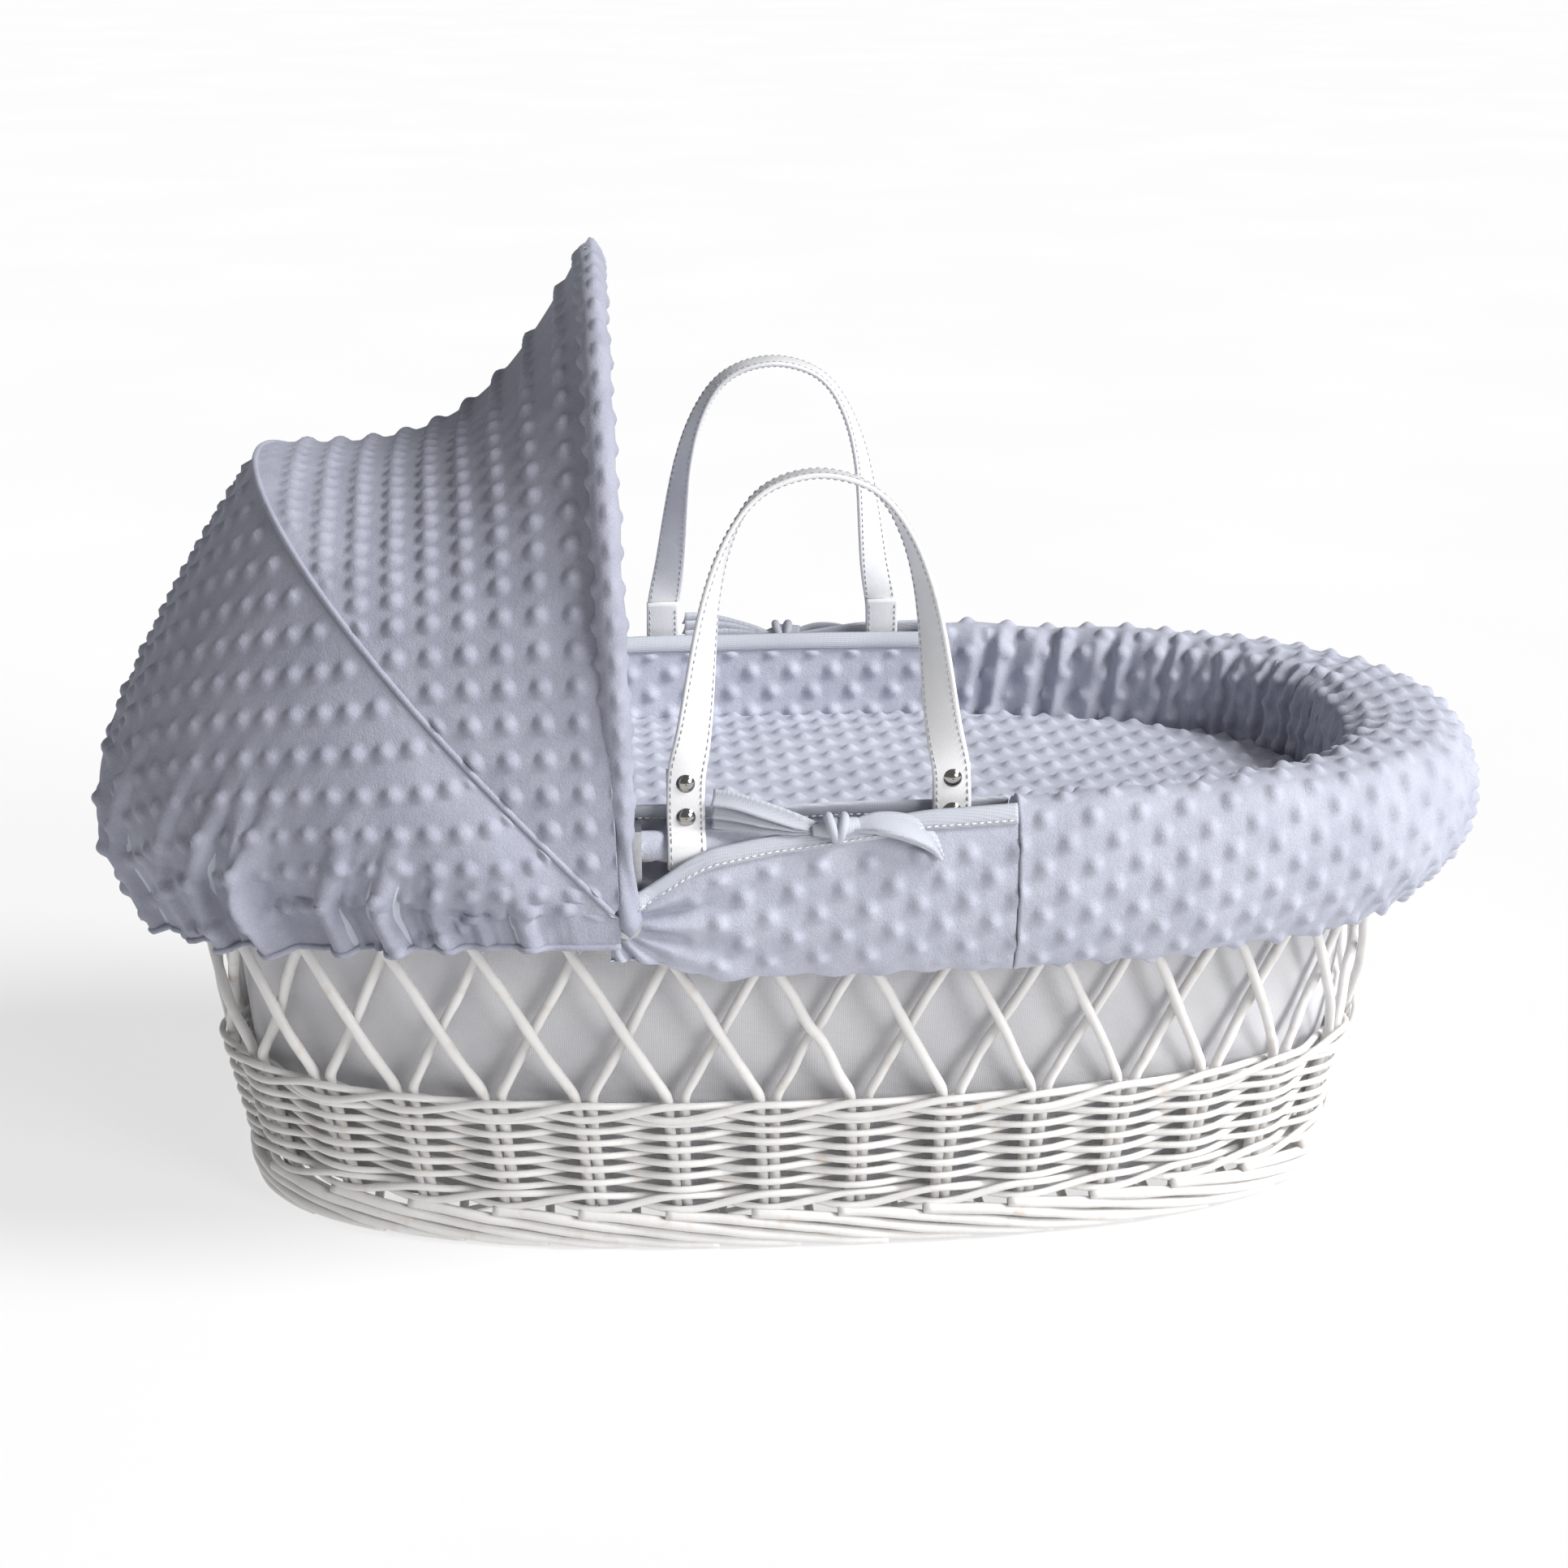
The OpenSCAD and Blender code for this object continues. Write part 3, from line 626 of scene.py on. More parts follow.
def rim():
    """Four rods laid round each other to make the rim."""
    shape = Shape()
    share = np.linspace(0, 1, 480, endpoint=False)
    for i in range(4):
        turn = 2 * math.pi * (RIM_TWISTS * share + i / 4)
        path = off_rim(turn_at(share), RIM_PLY_OUT * np.cos(turn), RIM_Z + RIM_PLY_OUT * np.sin(turn))
        shape.tube(path, RIM_PLY_R, sides=10, closed=True)
    rods_piece("rim_rods", shape, "rim_border")


def wicker():
    """Every rod of the basket's sides and rim."""
    stakes("stakes_left", -1)
    stakes("stakes_right", 1)
    foot_border()
    waling("lower_waling", LOWER_WALE_Z)
    side_weave()
    waling("upper_waling", UPPER_WALE_Z)
    rim()


# ---- tub and bedding ----
def tub():
    """The cotton tub just inside the wicker, with soft creases where it hangs."""
    shape = Shape()
    share = np.linspace(0, 1, 481)
    z = np.linspace(TUB_FLOOR, TUB_TOP, 70)
    u, height = np.meshgrid(share * GIRTH, z, indexing="ij")
    slack = ramp(height, 70, 125) * (1 - ramp(height, 205, TUB_TOP))
    crease = 0.6 * waves(u + 0.25 * height, 150, 31) + 0.4 * waves(u - 0.5 * height, 70, 32)
    sag = slack * (1.5 * crease - 1.3)
    points = wall(share[:, None], z[None, :], sag - TUB_INSET)
    shape.grid(points, np.stack([u, height], -1))
    shape.faces.append([i * len(z) for i in range(len(share) - 1)])
    made = piece("tub_cloth", shape, COTTON, "basket", ["lining"])


def squircle(count_x, count_y):
    """A square grid spread over an oval of half length and half width 1."""
    s, t = np.meshgrid(np.linspace(-1, 1, count_x), np.linspace(-1, 1, count_y), indexing="ij")
    x = s * (1 - np.abs(t) ** SQUARENESS / 2) ** (1 / SQUARENESS)
    y = t * (1 - np.abs(s) ** SQUARENESS / 2) ** (1 / SQUARENESS)
    edge = (np.abs(x) ** SQUARENESS + np.abs(y) ** SQUARENESS) ** (1 / SQUARENESS)
    return x, y, edge


def cushion(bottom, top, inset, crown, soft, cell, dotted=False, shorter=0):
    """A filled pad, inset from the wall. Its edge is rounded by soft and its middle bulges by crown."""
    a = np.interp(top, WALL_Z, WALL_A) - inset - shorter
    b = np.interp(top, WALL_Z, WALL_B) - inset
    x, y, edge = squircle(int(2 * a / cell), int(2 * b / cell))
    x, y = a * x, b * y
    inside = (1 - edge) * b
    round_off = soft * (1 - np.sqrt(1 - (1 - np.clip(inside / soft, 0, 1)) ** 2))
    puff = 0.8 * waves(x + 0.3 * y, 160, 41) + 0.8 * waves(y - 0.2 * x, 110, 42)
    z = top + crown * (1 - edge**2) - round_off + puff * ramp(inside, 0, 40)
    points = np.stack([x, y, z], -1)
    cloth = np.stack([x, y], -1)
    if dotted:
        points = dimpled(points, cloth, fade=ramp(inside, 1, 5))
    shape = Shape()
    shape.grid(points, cloth, flip=True)
    index = np.arange(x.size).reshape(x.shape)
    border = np.concatenate([index[:-1, 0], index[-1, :-1], index[:0:-1, -1], index[0, :0:-1]])
    edge_points = points.reshape(-1, 3)[border]
    # Rings down the side, at shares of its height; the lowest is drawn in
    skirt = [edge_points]
    for level, tuck in ((0.75, 0), (0.5, 0), (0.2, 0), (0.0, 4)):
        height = bottom + (top - soft - bottom) * level
        ring_a = np.interp(height, WALL_Z, WALL_A) - inset - shorter - tuck
        ring_b = np.interp(height, WALL_Z, WALL_B) - inset - tuck
        skirt.append(edge_points * [ring_a / a, ring_b / b, 0] + [0, 0, height])
    skirt = np.stack(skirt)
    shape.grid(skirt, skirt[..., :2], round_closed=True)
    shape.faces.append([shape.count - len(border) + i for i in range(len(border))])
    return shape


def bedding():
    """The filling that holds the mattress up, the mattress and the coverlet."""
    low, high = box_mm("filling_pad")
    filling = cushion(low[2], high[2] - 2, inset=16, crown=1, soft=8, cell=6)
    made = piece("filling_pad_wadding", filling, WADDING, "basket", ["filling_pad"])
    low, high = box_mm("mattress")
    mattress = cushion(low[2] + 1, high[2] - 2, inset=17, crown=0.5, soft=8, cell=6)
    made = piece("mattress_ticking", mattress, TICKING, "basket", ["mattress"])
    bottom = box_mm("coverlet")[0][2] + 1
    coverlet = cushion(bottom, COVERLET_TOP, inset=12, crown=6, soft=12, cell=CELL, dotted=True, shorter=14)
    made = piece("coverlet_quilt", coverlet, VELOUR_PAINTED_LIGHT, "basket", ["coverlet"])


# ---- dressing ----
def cover_line(inner, outer, skirt):
    """The line of the cloth over the rim, from the inner hem over the top and under the skirt."""
    inner, outer = np.broadcast_arrays(inner, outer)
    level = np.ones_like(inner, float)
    points = [
        (-inner - 3, INNER_HEM_Z),
        (-inner - 1, INNER_HEM_Z + 22),
        (-inner + 1.5, DRESSED_Z - 14),
        (-inner * 0.45, DRESSED_Z - 2),
        (outer * 0.25, DRESSED_Z),
        (outer * 0.75, DRESSED_Z - 8),
        (outer, WIDEST_Z),
        (outer * 0.94, skirt + 32),
        (outer * 0.45 + 4, skirt + 6),
        (outer * 0.3 + 2, skirt),
    ]
    return np.stack([np.stack([out, level * z], -1) for out, z in points], -2)


def roll_back(turns, skirt):
    """The hidden back of a roll, from its skirt up and round the rim to its inner hem."""
    clear = RIM_R + 1.5
    hidden = np.array(
        [
            [2, skirt + 6],
            [clear, RIM_Z - 20],
            [clear, RIM_Z + 4],
            [0, RIM_Z + RIM_R + 2],
            [-clear, RIM_Z],
            [-clear, INNER_HEM_Z + 12],
        ]
    )
    return off_rim(turns[:, None], hidden[None, :, 0], hidden[None, :, 1]), hidden[:, 1]


def roll(name, middle, half_turn, side_out, end_out, skirt, nodes):
    """A padded roll round one end of the rim: ruched cloth inside, dotted cloth outside.

    It spans half_turn to each side of middle, and reaches out by side_out at its ends and end_out between.
    """
    turns = middle + np.linspace(-half_turn, half_turn, 1200)
    way = along(off_rim(turns, end_out, WIDEST_Z))
    turns = np.interp(np.linspace(0, way[-1], int(way[-1] / CELL)), way, turns)
    end = np.abs(np.cos(turns)) ** 3
    inner = INNER_OUT + (FOOT_INNER - INNER_OUT) * end
    outer = side_out + (end_out - side_out) * end
    # Columns of the section, counted by the points of cover_line
    per = 11
    top, widest, hem_edge = 4 * per, 6 * per, 9 * per
    section = smoothed(cover_line(inner, outer, skirt), per, axis=1)
    points = off_rim(turns[:, None], section[..., 0], section[..., 1])
    u = along(points, 0)[:, widest]
    v = along(points, 1)
    v = v - v[:, top : top + 1]
    u_grid = np.broadcast_to(u[:, None], v.shape)
    cloth = np.stack([u_grid, v], -1)
    column = np.arange(points.shape[1])[None, :]
    ends = np.minimum(1, np.minimum(u, u[-1] - u) / 30)[:, None]
    ruche = 1 - ramp(column, 2 * per, top + 2)
    hem = ramp(column, hem_edge - 17, hem_edge)
    folds = ruche * (2.4 * waves(u_grid + 0.12 * v, 17, 51) + 0.8) + 1.1 * hem * waves(u_grid, 24, 52)
    body = 1.2 * waves(u_grid + 0.6 * v, 140, 53) * (1 - ruche)
    points = points + normals(points) * (-(folds + body) * ends)[..., None]
    points = dimpled(points, cloth, side=-1)
    back, height = roll_back(turns, skirt)
    back_cloth = np.stack(np.broadcast_arrays(u[:, None], height), -1)
    rings = np.concatenate([points, back], 1)
    shape = Shape()
    shape.grid(rings, np.concatenate([cloth, back_cloth], 1), round_closed=True, ends=True, flip=True)
    piece(name, shape, VELOUR, "basket", nodes)


def dressing_rolls():
    """The roll round the foot end, from seam to seam, and the lower one under the hood."""
    roll(
        "foot_roll",
        middle=0,
        half_turn=rim_turn(SEAM_X + 0.5),
        side_out=SIDE_OUT,
        end_out=FOOT_ROLL,
        skirt=SKIRT_Z,
        nodes=["foot_cover", "foot_pad"],
    )
    roll(
        "head_roll",
        middle=math.pi,
        half_turn=math.pi - rim_turn(PIVOT_X - 14),
        side_out=HEAD_SIDE_OUT,
        end_out=HEAD_ROLL,
        skirt=SKIRT_Z + HEAD_SKIRT_RISE,
        nodes=["head_cover", "head_pad"],
    )


def outer_edge(x):
    """The height of the top edge of an outer side panel: it falls away toward the hood pivot."""
    return np.interp(x, PANEL_EDGE_X, PANEL_EDGE_Z)


def panel_turns(to_x):
    """Even turns from the seam of a near side panel toward the hood, and how far along each is."""
    turns = -np.linspace(rim_turn(PANEL_SEAM_X), rim_turn(to_x), 600)
    way = along(off_rim(turns, SIDE_OUT, DRESSED_Z))
    u = np.linspace(0, way[-1], int(way[-1] / CELL))
    return np.interp(u, way, turns), u


def outer_panel():
    """The outer cloth of a near side panel: even at the seam, drawn together at the hood pivot."""
    turns, u = panel_turns(PIVOT_X - 8)
    x = off_rim(turns, SIDE_OUT, 0)[:, 0]
    # How far out the cloth is, at shares of the way down from its top edge
    outs = [13, 17, SIDE_OUT, SIDE_OUT * 0.94, 12.5, 7.7, 3]
    shares = [0.0, 0.13, 0.36, 0.67, 0.93, 1.0, 0.98]
    out, down = smoothed(np.stack([outs, shares], -1), 9).T[:, None]
    drawn = ramp(-x, 20, 122)[:, None]
    top = outer_edge(x)[:, None]
    bottom = SKIRT_Z + 16 * ramp(-x, 55, 112)[:, None]
    z = top + (bottom - top) * down
    points = off_rim(turns[:, None], out * (1 - drawn) + 20.5 * drawn, z)
    spread = np.arctan2(z - PIVOT_Z, x[:, None] - PIVOT_X + 12)
    away = np.hypot(z - PIVOT_Z, x[:, None] - PIVOT_X)
    folds = 5.0 * waves(spread * 57, 21, 61) * np.exp(-((away / 58) ** 2)) * (1 - ramp(away, 90, 130))
    folds *= ramp(away, 3, 16)
    hem = waves(u[:, None] + 0 * z, 23, 62) * ramp(down, 0.85, 1)
    slack = 1.5 * waves(u[:, None] + 0.5 * z, 90, 63) * ramp(down, 0, 0.2) * (1 - drawn)
    points = points - normals(points) * (folds + hem + slack)[..., None]
    v = along(points, 1)
    v = v - 0.5 * v[:, -1:]
    cloth = np.stack(np.broadcast_arrays(u[:, None], v), -1)
    fade = ramp(away, 26, 48) * ramp(z, bottom + 4, bottom + 10) * ramp(top - z, 14, 19)
    return dimpled(points, cloth, fade=fade), cloth


def inner_panel():
    """The inner cloth of a near side panel, flat against the tub."""
    turns, u = panel_turns(PIVOT_X - 12)
    edge_z = DRESSED_Z - 3
    profile = [
        [-INNER_OUT - 5, INNER_HEM_Z - 4],
        [-INNER_OUT - 1, INNER_HEM_Z + 22],
        [-INNER_OUT + 1.5, DRESSED_Z - 14],
        [-9.5, edge_z],
    ]
    out, z = smoothed(profile, 13).T[:, None]
    points = off_rim(turns[:, None], out, z)
    v = along(points, 1)
    u_grid = np.broadcast_to(u[:, None], v.shape)
    points = points + normals(points) * (1.3 * waves(u_grid + 1.2 * v, 120, 64))[..., None]
    cloth = np.stack([u_grid, v], -1)
    return dimpled(points, cloth, fade=ramp(edge_z - points[..., 2], 9, 13)), cloth


def rim_sleeve():
    """The cloth that lies over the rim in the slit, inside the loops of the handles."""
    turns, u = panel_turns(PIVOT_X - 10)
    round_rim = np.radians(np.linspace(215, -25, 24))
    radius = RIM_R + 0.7 + 0.25 * waves(u, 19, 65)[:, None]
    points = off_rim(turns[:, None], radius * np.cos(round_rim), RIM_Z + radius * np.sin(round_rim))
    return points, np.stack(np.broadcast_arrays(u[:, None], RIM_R * round_rim), -1)


def skirt_elastic():
    """The elastic that runs all round inside the lower edge of the dressing."""
    turns = turn_at(np.linspace(0, 1, 400, endpoint=False))
    x = off_rim(turns, 0, 0)[:, 0]
    shape = Shape()
    hem = off_rim(turns, 4.5, SKIRT_Z + 4 + HEAD_SKIRT_RISE * ramp(-x, 60, 112))
    shape.tube(hem, 1.5, closed=True)
    piece("skirt_elastic_cord", shape, ELASTIC, "basket", ["skirt_elastic"])


def side_panels(side, place):
    """The two cloths of a side panel, with the sleeve over the rim and the bound edges."""
    turned = side == "far"
    outer, outer_cloth = outer_panel()
    inner, inner_cloth = inner_panel()
    sleeve, sleeve_cloth = rim_sleeve()
    shape = Shape()
    shape.grid(place(outer), outer_cloth, flip=not turned)
    nodes = ["side_panel_" + side]
    made = piece(f"side_panel_{side}_outer", shape, VELOUR, "basket", nodes)
    shape = Shape()
    shape.grid(place(inner), inner_cloth, flip=turned)
    shape.grid(place(sleeve), sleeve_cloth, flip=turned)
    made = piece(f"side_panel_{side}_inner", shape, VELOUR_PAINTED_LIGHT, "basket", [])
    bind(side, place, outer, inner)


def edge_tape(tape, stitches, line, inward, place):
    """A tape folded over the edge of a cloth, with a row of stitches near its lower side."""
    down = unit(inward)
    out = np.cross(heading(line), down)
    middle = TAPE_WIDTH * 0.5
    # The fold's section: how far down from the edge, and how far out
    section = [
        (TAPE_WIDTH, 0.9), (TAPE_WIDTH, 1.5), (middle, 1.8), (0.6, 1.6), (-1.0, 0),
        (0.6, -1.4), (middle, -1.5), (TAPE_WIDTH, -1.3), (TAPE_WIDTH, -0.8),
    ]
    rings = np.stack([line + d * down + o * out for d, o in section], 1)
    tape.grid(place(rings), round_closed=True, ends=True)
    from_edge, pitch = 2, 4.4
    steps = np.array([0.0, 1.0, 2.0, 3.0])
    lift = np.array([0.0, 0.35, 0.35, 0.0])
    radius = [0.25, 0.45, 0.45, 0.25]
    way = along(line)
    row = line + (TAPE_WIDTH - from_edge) * down + 1.7 * out
    for start in np.arange(3, way[-1] - 4, pitch):
        stitch = points_at(row, way, start + steps)
        stitch[:, 1] += lift * np.interp(start, way, out[:, 1])
        stitches.tube(place(stitch), radius, sides=6)


def bind(side, place, outer, inner):
    """The tapes on the top edges of a panel's two cloths."""
    count = 120
    tape, stitches = Shape(), Shape()
    for points, edge, within in ((outer, 0, 6), (inner, -1, -7)):
        line = evenly(smoothed(points[::6, edge], 3), count)
        inward = points[:, within] - points[:, edge]
        inward = points_at(inward, np.linspace(0, 1, len(inward)), np.linspace(0, 1, count))
        edge_tape(tape, stitches, line, inward, place)
    piece(f"binding_{side}_tape", tape, TAPE, "basket", ["binding_" + side])
    piece(f"binding_{side}_stitches", stitches, THREAD, "basket", [])


# ---- ties ----
def ribbon(shape, path, face, width, cup):
    """Adds a ribbon along a path; face gives the direction its flat side looks at each point."""
    thickness = 0.9
    path = smoothed(path, 8)
    run = heading(path)
    side = unit(np.cross(smoothed(face, 8), run))
    up = np.cross(run, side)
    half = np.interp(np.linspace(0, 1, len(path)), np.linspace(0, 1, len(width)), width)[:, None] / 2
    share = [-1, -0.6, -0.2, 0.2, 0.6, 1]
    top = [path + s * half * side + (thickness / 2 - cup * (1 - s * s)) * up for s in share]
    low = [path + s * half * side - (thickness / 2 + cup * (1 - s * s)) * up for s in reversed(share)]
    shape.grid(np.stack(top + low, 1), round_closed=True, ends=True)


def tie(side, place):
    """A tape tied in a knot over the slit: one end fans out toward the hood, the other hangs in a loop."""
    shape = Shape()
    knot = np.array([8, -RIM_B - 15.5, 293])
    lump = smoothed(knot + [[-13, 0, -1], [-7, -1, 0], [0, -2, 1], [7, -1, 2], [13, 0, 3]], 5)
    radius = np.interp(np.linspace(0, 1, len(lump)), [0, 0.5, 1], [3.2, 6.2, 3.6])
    shape.tube(lump, radius, ref=(0, 1, 0), sides=14)
    turn = np.linspace(0, 2 * math.pi, 25)[:-1]
    for lean, reach in ((-0.35, -2), (0.25, 3)):
        x = reach + 7 * lean * np.sin(turn)
        wrap = np.stack([x, 7 * np.cos(turn) - 1.5, 6.6 * np.sin(turn) + 1], -1)
        shape.tube(knot + wrap, 2.8, ref=(1, 0.05, 0), sides=10, closed=True)
    for rise, width in ((3, 11), (9, 12), (15, 10)):
        fan = [[-8, 0, 0], [-22, 1, 0.3 * rise], [-40, 4, 0.7 * rise], [-56, 8, rise], [-70, 12, 1.1 * rise]]
        ribbon(shape, knot + fan, [[0, -1, 0.5]] * 5, [5, 9, width, width, width], 1.6)
    loop = knot + [[9, -1, 2], [24, -3, 5], [40, -5, 2], [53, -6, -6], [62, -6, -18]]
    facing = [[0, -0.7, 1], [0, -0.7, 1], [0.3, -0.8, 0.9], [0.5, -0.8, 0.7], [0.7, -0.8, 0.4]]
    ribbon(shape, loop, facing, [7, 13, 17, 14, 2], 2.0)
    curl = knot + [[9, 0, -1], [26, -6, -1], [42, -9, -5], [54, -8, -11], [61, -6, -18]]
    ribbon(shape, curl, [[0, -0.6, -1]] * 5, [4, 7, 8, 6, 2], -1.2)
    shape.points = [place(points) for points in shape.points]
    made = piece(f"tie_{side}_ribbon", shape, TAPE, "basket", ["tie_" + side])


# ---- hood ----
def bow_points(p, angle, off=0):
    """Points of a bow plane, from how far across, how far from the pivots and how far off the plane."""
    x = PIVOT_X - p[..., 1] * math.cos(angle) + off * math.sin(angle)
    z = PIVOT_Z + p[..., 1] * math.sin(angle) + off * math.cos(angle)
    return np.stack([x, p[..., 0], z], -1)


def bow_normal(angle):
    """The direction straight off a bow's plane."""
    return np.array([math.sin(angle), 0, math.cos(angle)])


def arch(reach, q, out):
    """The edge of a cloth that follows a bow, at turns q round its arch."""
    rise = np.maximum(np.sin(q), 0)
    up = (reach - BOW_HALF) * rise**0.35 + (BOW_HALF + out) * rise + BOW_START * (1 - rise)
    return np.stack([-(BOW_HALF + out) * np.cos(q), up], -1)


def even_arch(curve, cell):
    """Turns round an arch at even distances along its curve."""
    q = np.pi * (1 - np.cos(np.linspace(0, np.pi, 3000))) / 2
    way = along(curve(q))
    return np.interp(np.linspace(0, way[-1], int(way[-1] / cell)), way, q)


def front_points(q, share, out):
    """The cloth between the bows, drawn in toward the pivots where nothing holds it up."""
    back = bow_points(arch(MID_REACH, q, out), MID_ANGLE, SEAM_HALF)
    front = bow_points(arch(FRONT_REACH, q, out), FRONT_ANGLE, -HEM_GAP)
    flat = back + (front - back) * share[..., None]
    pull = 1 - HOOD_PULL * 4 * share * (1 - share) * np.sin(q) ** 2
    pivot = np.array([PIVOT_X, 0, PIVOT_Z])
    drawn = pivot + (flat - pivot) * pull[..., None]
    drawn[..., 1] = flat[..., 1]
    return drawn


def arch_cloth(points, angle):
    """Flat coordinates of a cloth arched over a bow: along the arch, and away from the bow's plane."""
    up = np.array([-math.cos(angle), 0, math.sin(angle)])
    rel = points - [PIVOT_X, 0, PIVOT_Z]
    across = rel @ bow_normal(angle)
    in_plane = np.stack([rel[..., 1], rel @ up], -1)
    way = along(in_plane, 0) + in_plane[:1, :, 1]
    total = way[-1:] + in_plane[-1:, :, 1]
    half = total / 2
    goal = half.max()
    near = np.minimum(way, total - way)
    near = near + (goal - half) * ramp(near / half, 0.45, 1)
    return np.stack([np.where(way < half, near, 2 * goal - near), across], -1)


def hood_front():
    """The stretched cloth between the bows, with its plain back."""
    q = even_arch(lambda turn: front_points(turn, np.ones_like(turn), BOW_CLEAR), CELL)
    q_grid, share = np.meshgrid(q, np.linspace(0, 1, 96), indexing="ij")
    points = front_points(q_grid, share, CLOTH_OUT)
    cloth = arch_cloth(points, FRONT_ANGLE)
    drape = 2.2 * waves(cloth[..., 0] + 0.8 * cloth[..., 1], 210, 71) * ramp(np.sin(q_grid), 0.05, 0.4)
    drape *= ramp(share, 0, 0.15) * ramp(1 - share, 0, 0.1)
    points = points + normals(points) * drape[..., None]
    fade = ramp(share, 0.01, 0.03) * ramp(1 - share, 0.005, 0.02)
    inner = front_points(q_grid, share, BOW_CLEAR) + normals(points) * drape[..., None]
    outside, inside = Shape(), Shape()
    outside.grid(dimpled(points, cloth, turned=False, side=-1, fade=fade), cloth)
    inside.grid(inner[::3, ::3], cloth[::3, ::3], flip=True)
    for soft in (
        piece("hood_front_cloth", outside, HOOD_VELOUR_PAINTED_SHADE, "hood_front", ["hood_front_panel"]),
        piece("hood_front_back", inside, LINING, "hood_front", []),
    ):
        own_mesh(soft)


def tail_ring(q, end, out, z):
    """A level line round the head end, from pivot to pivot."""
    rise = np.maximum(np.sin(q), 0)
    x = PIVOT_X - 4 - (end + PIVOT_X - 4 + out) * rise**0.8
    y = -(BOW_HALF + 0.5 + out) * np.sign(np.cos(q)) * np.abs(np.cos(q)) ** 0.8
    return np.stack(np.broadcast_arrays(x, y, z), -1)


def tail_points(q, out):
    """The cloth behind the middle bow: out to its widest, then in under the roll."""
    rise = np.maximum(np.sin(q), 0)
    top = bow_points(arch(MID_REACH, q, out), MID_ANGLE, -SEAM_HALF)
    wide = tail_ring(q, TAIL_WIDE, out, 246 + 13 * rise)
    hem = tail_ring(q, TAIL_HEM, out, 228 - 30 * rise**2)
    controls = [top + (wide - top) * s for s in (0, 0.33, 0.66, 0.9)]
    controls += [wide + (hem - wide) * s for s in (0.12, 0.55, 1)]
    return smoothed(np.stack(controls, -2), 21, axis=-2)


def hood_rear():
    """The cloth behind the middle bow, gathered on elastic along its hem."""
    q = even_arch(lambda turn: tail_ring(turn, TAIL_WIDE, 6, 250), CELL * 0.95)
    points = tail_points(q, CLOTH_OUT)
    # Measured along the column where the cloth is near its widest
    widest = 75
    ways = along(points, 0)
    u = ways[:, widest]
    v = along(points, 1)
    u_grid, rise = np.broadcast_arrays(u[:, None], np.sin(q)[:, None], v)[:2]
    cloth = np.stack([ways - ways[len(q) // 2], v], -1)
    down = np.linspace(0, 1, points.shape[1])[None, :]
    feet = ramp(rise, 0.02, 0.2)
    ripple = waves(u_grid + 5 * np.sin(v / 55), 27, 81)
    crease = np.exp(-((ripple / 0.3) ** 2))
    gather = (9.0 * ripple - 5.0 * crease) * ramp(down, 0.22, 0.62) * feet
    bulge = 12 * np.sin(np.pi * np.clip(down / 0.62, 0, 1)) * feet
    drape = 4.0 * waves(u_grid + 0.45 * v, 200, 82) * ramp(down, 0.05, 0.5) * (1 - ramp(down, 0.8, 1)) * feet
    near_fold = u_grid - (0.30 * u[-1] - 0.25 * v)
    far_fold = u_grid - (0.72 * u[-1] + 0.2 * v)
    fold = 11 * np.exp(-((near_fold / 8) ** 2)) * ramp(down, 0.2, 0.6)
    fold += 5 * np.exp(-((far_fold / 11) ** 2)) * ramp(down, 0.3, 0.65)
    facing = normals(points)
    points = points + facing * (gather + drape + bulge + fold * feet)[..., None]
    fade = ramp(down, 0.01, 0.03) * ramp(rise, 0.0, 0.06)
    outside, inside = Shape(), Shape()
    outside.grid(dimpled(points, cloth, fade=fade), cloth)
    inside.grid((points - facing * 2)[::3, ::3], cloth[::3, ::3], flip=True)
    for soft in (
        piece("hood_rear_cloth", outside, HOOD_VELOUR_PAINTED_SHADE, "basket", ["hood_rear_panel"]),
        piece("hood_rear_back", inside, LINING, "basket", []),
    ):
        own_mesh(soft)
    hem_casing(points[::2, -1])


def hem_casing(line):
    """The narrow casing of the hood's elastic, slightly uneven."""
    shape = Shape()
    shape.tube(line + 0.18 * rng.normal(size=line.shape), 2.0)
    piece("hood_hem_casing", shape, HOOD_VELOUR_PAINTED_SHADE, "basket", ["hood_elastic"])


def bow_curve(reach, start):
    """The middle line of a bow in its own plane, from one foot over to the other."""
    shoulder = reach - BOW_HALF
    q = np.linspace(0, math.pi, 60)
    top = np.stack([-BOW_HALF * np.cos(q), shoulder + BOW_HALF * np.sin(q)], -1)
    left = np.stack([np.full(8, -BOW_HALF), np.linspace(start, shoulder, 8, endpoint=False)], -1)
    return np.concatenate([left, top, left[::-1] * [-1, 1]])


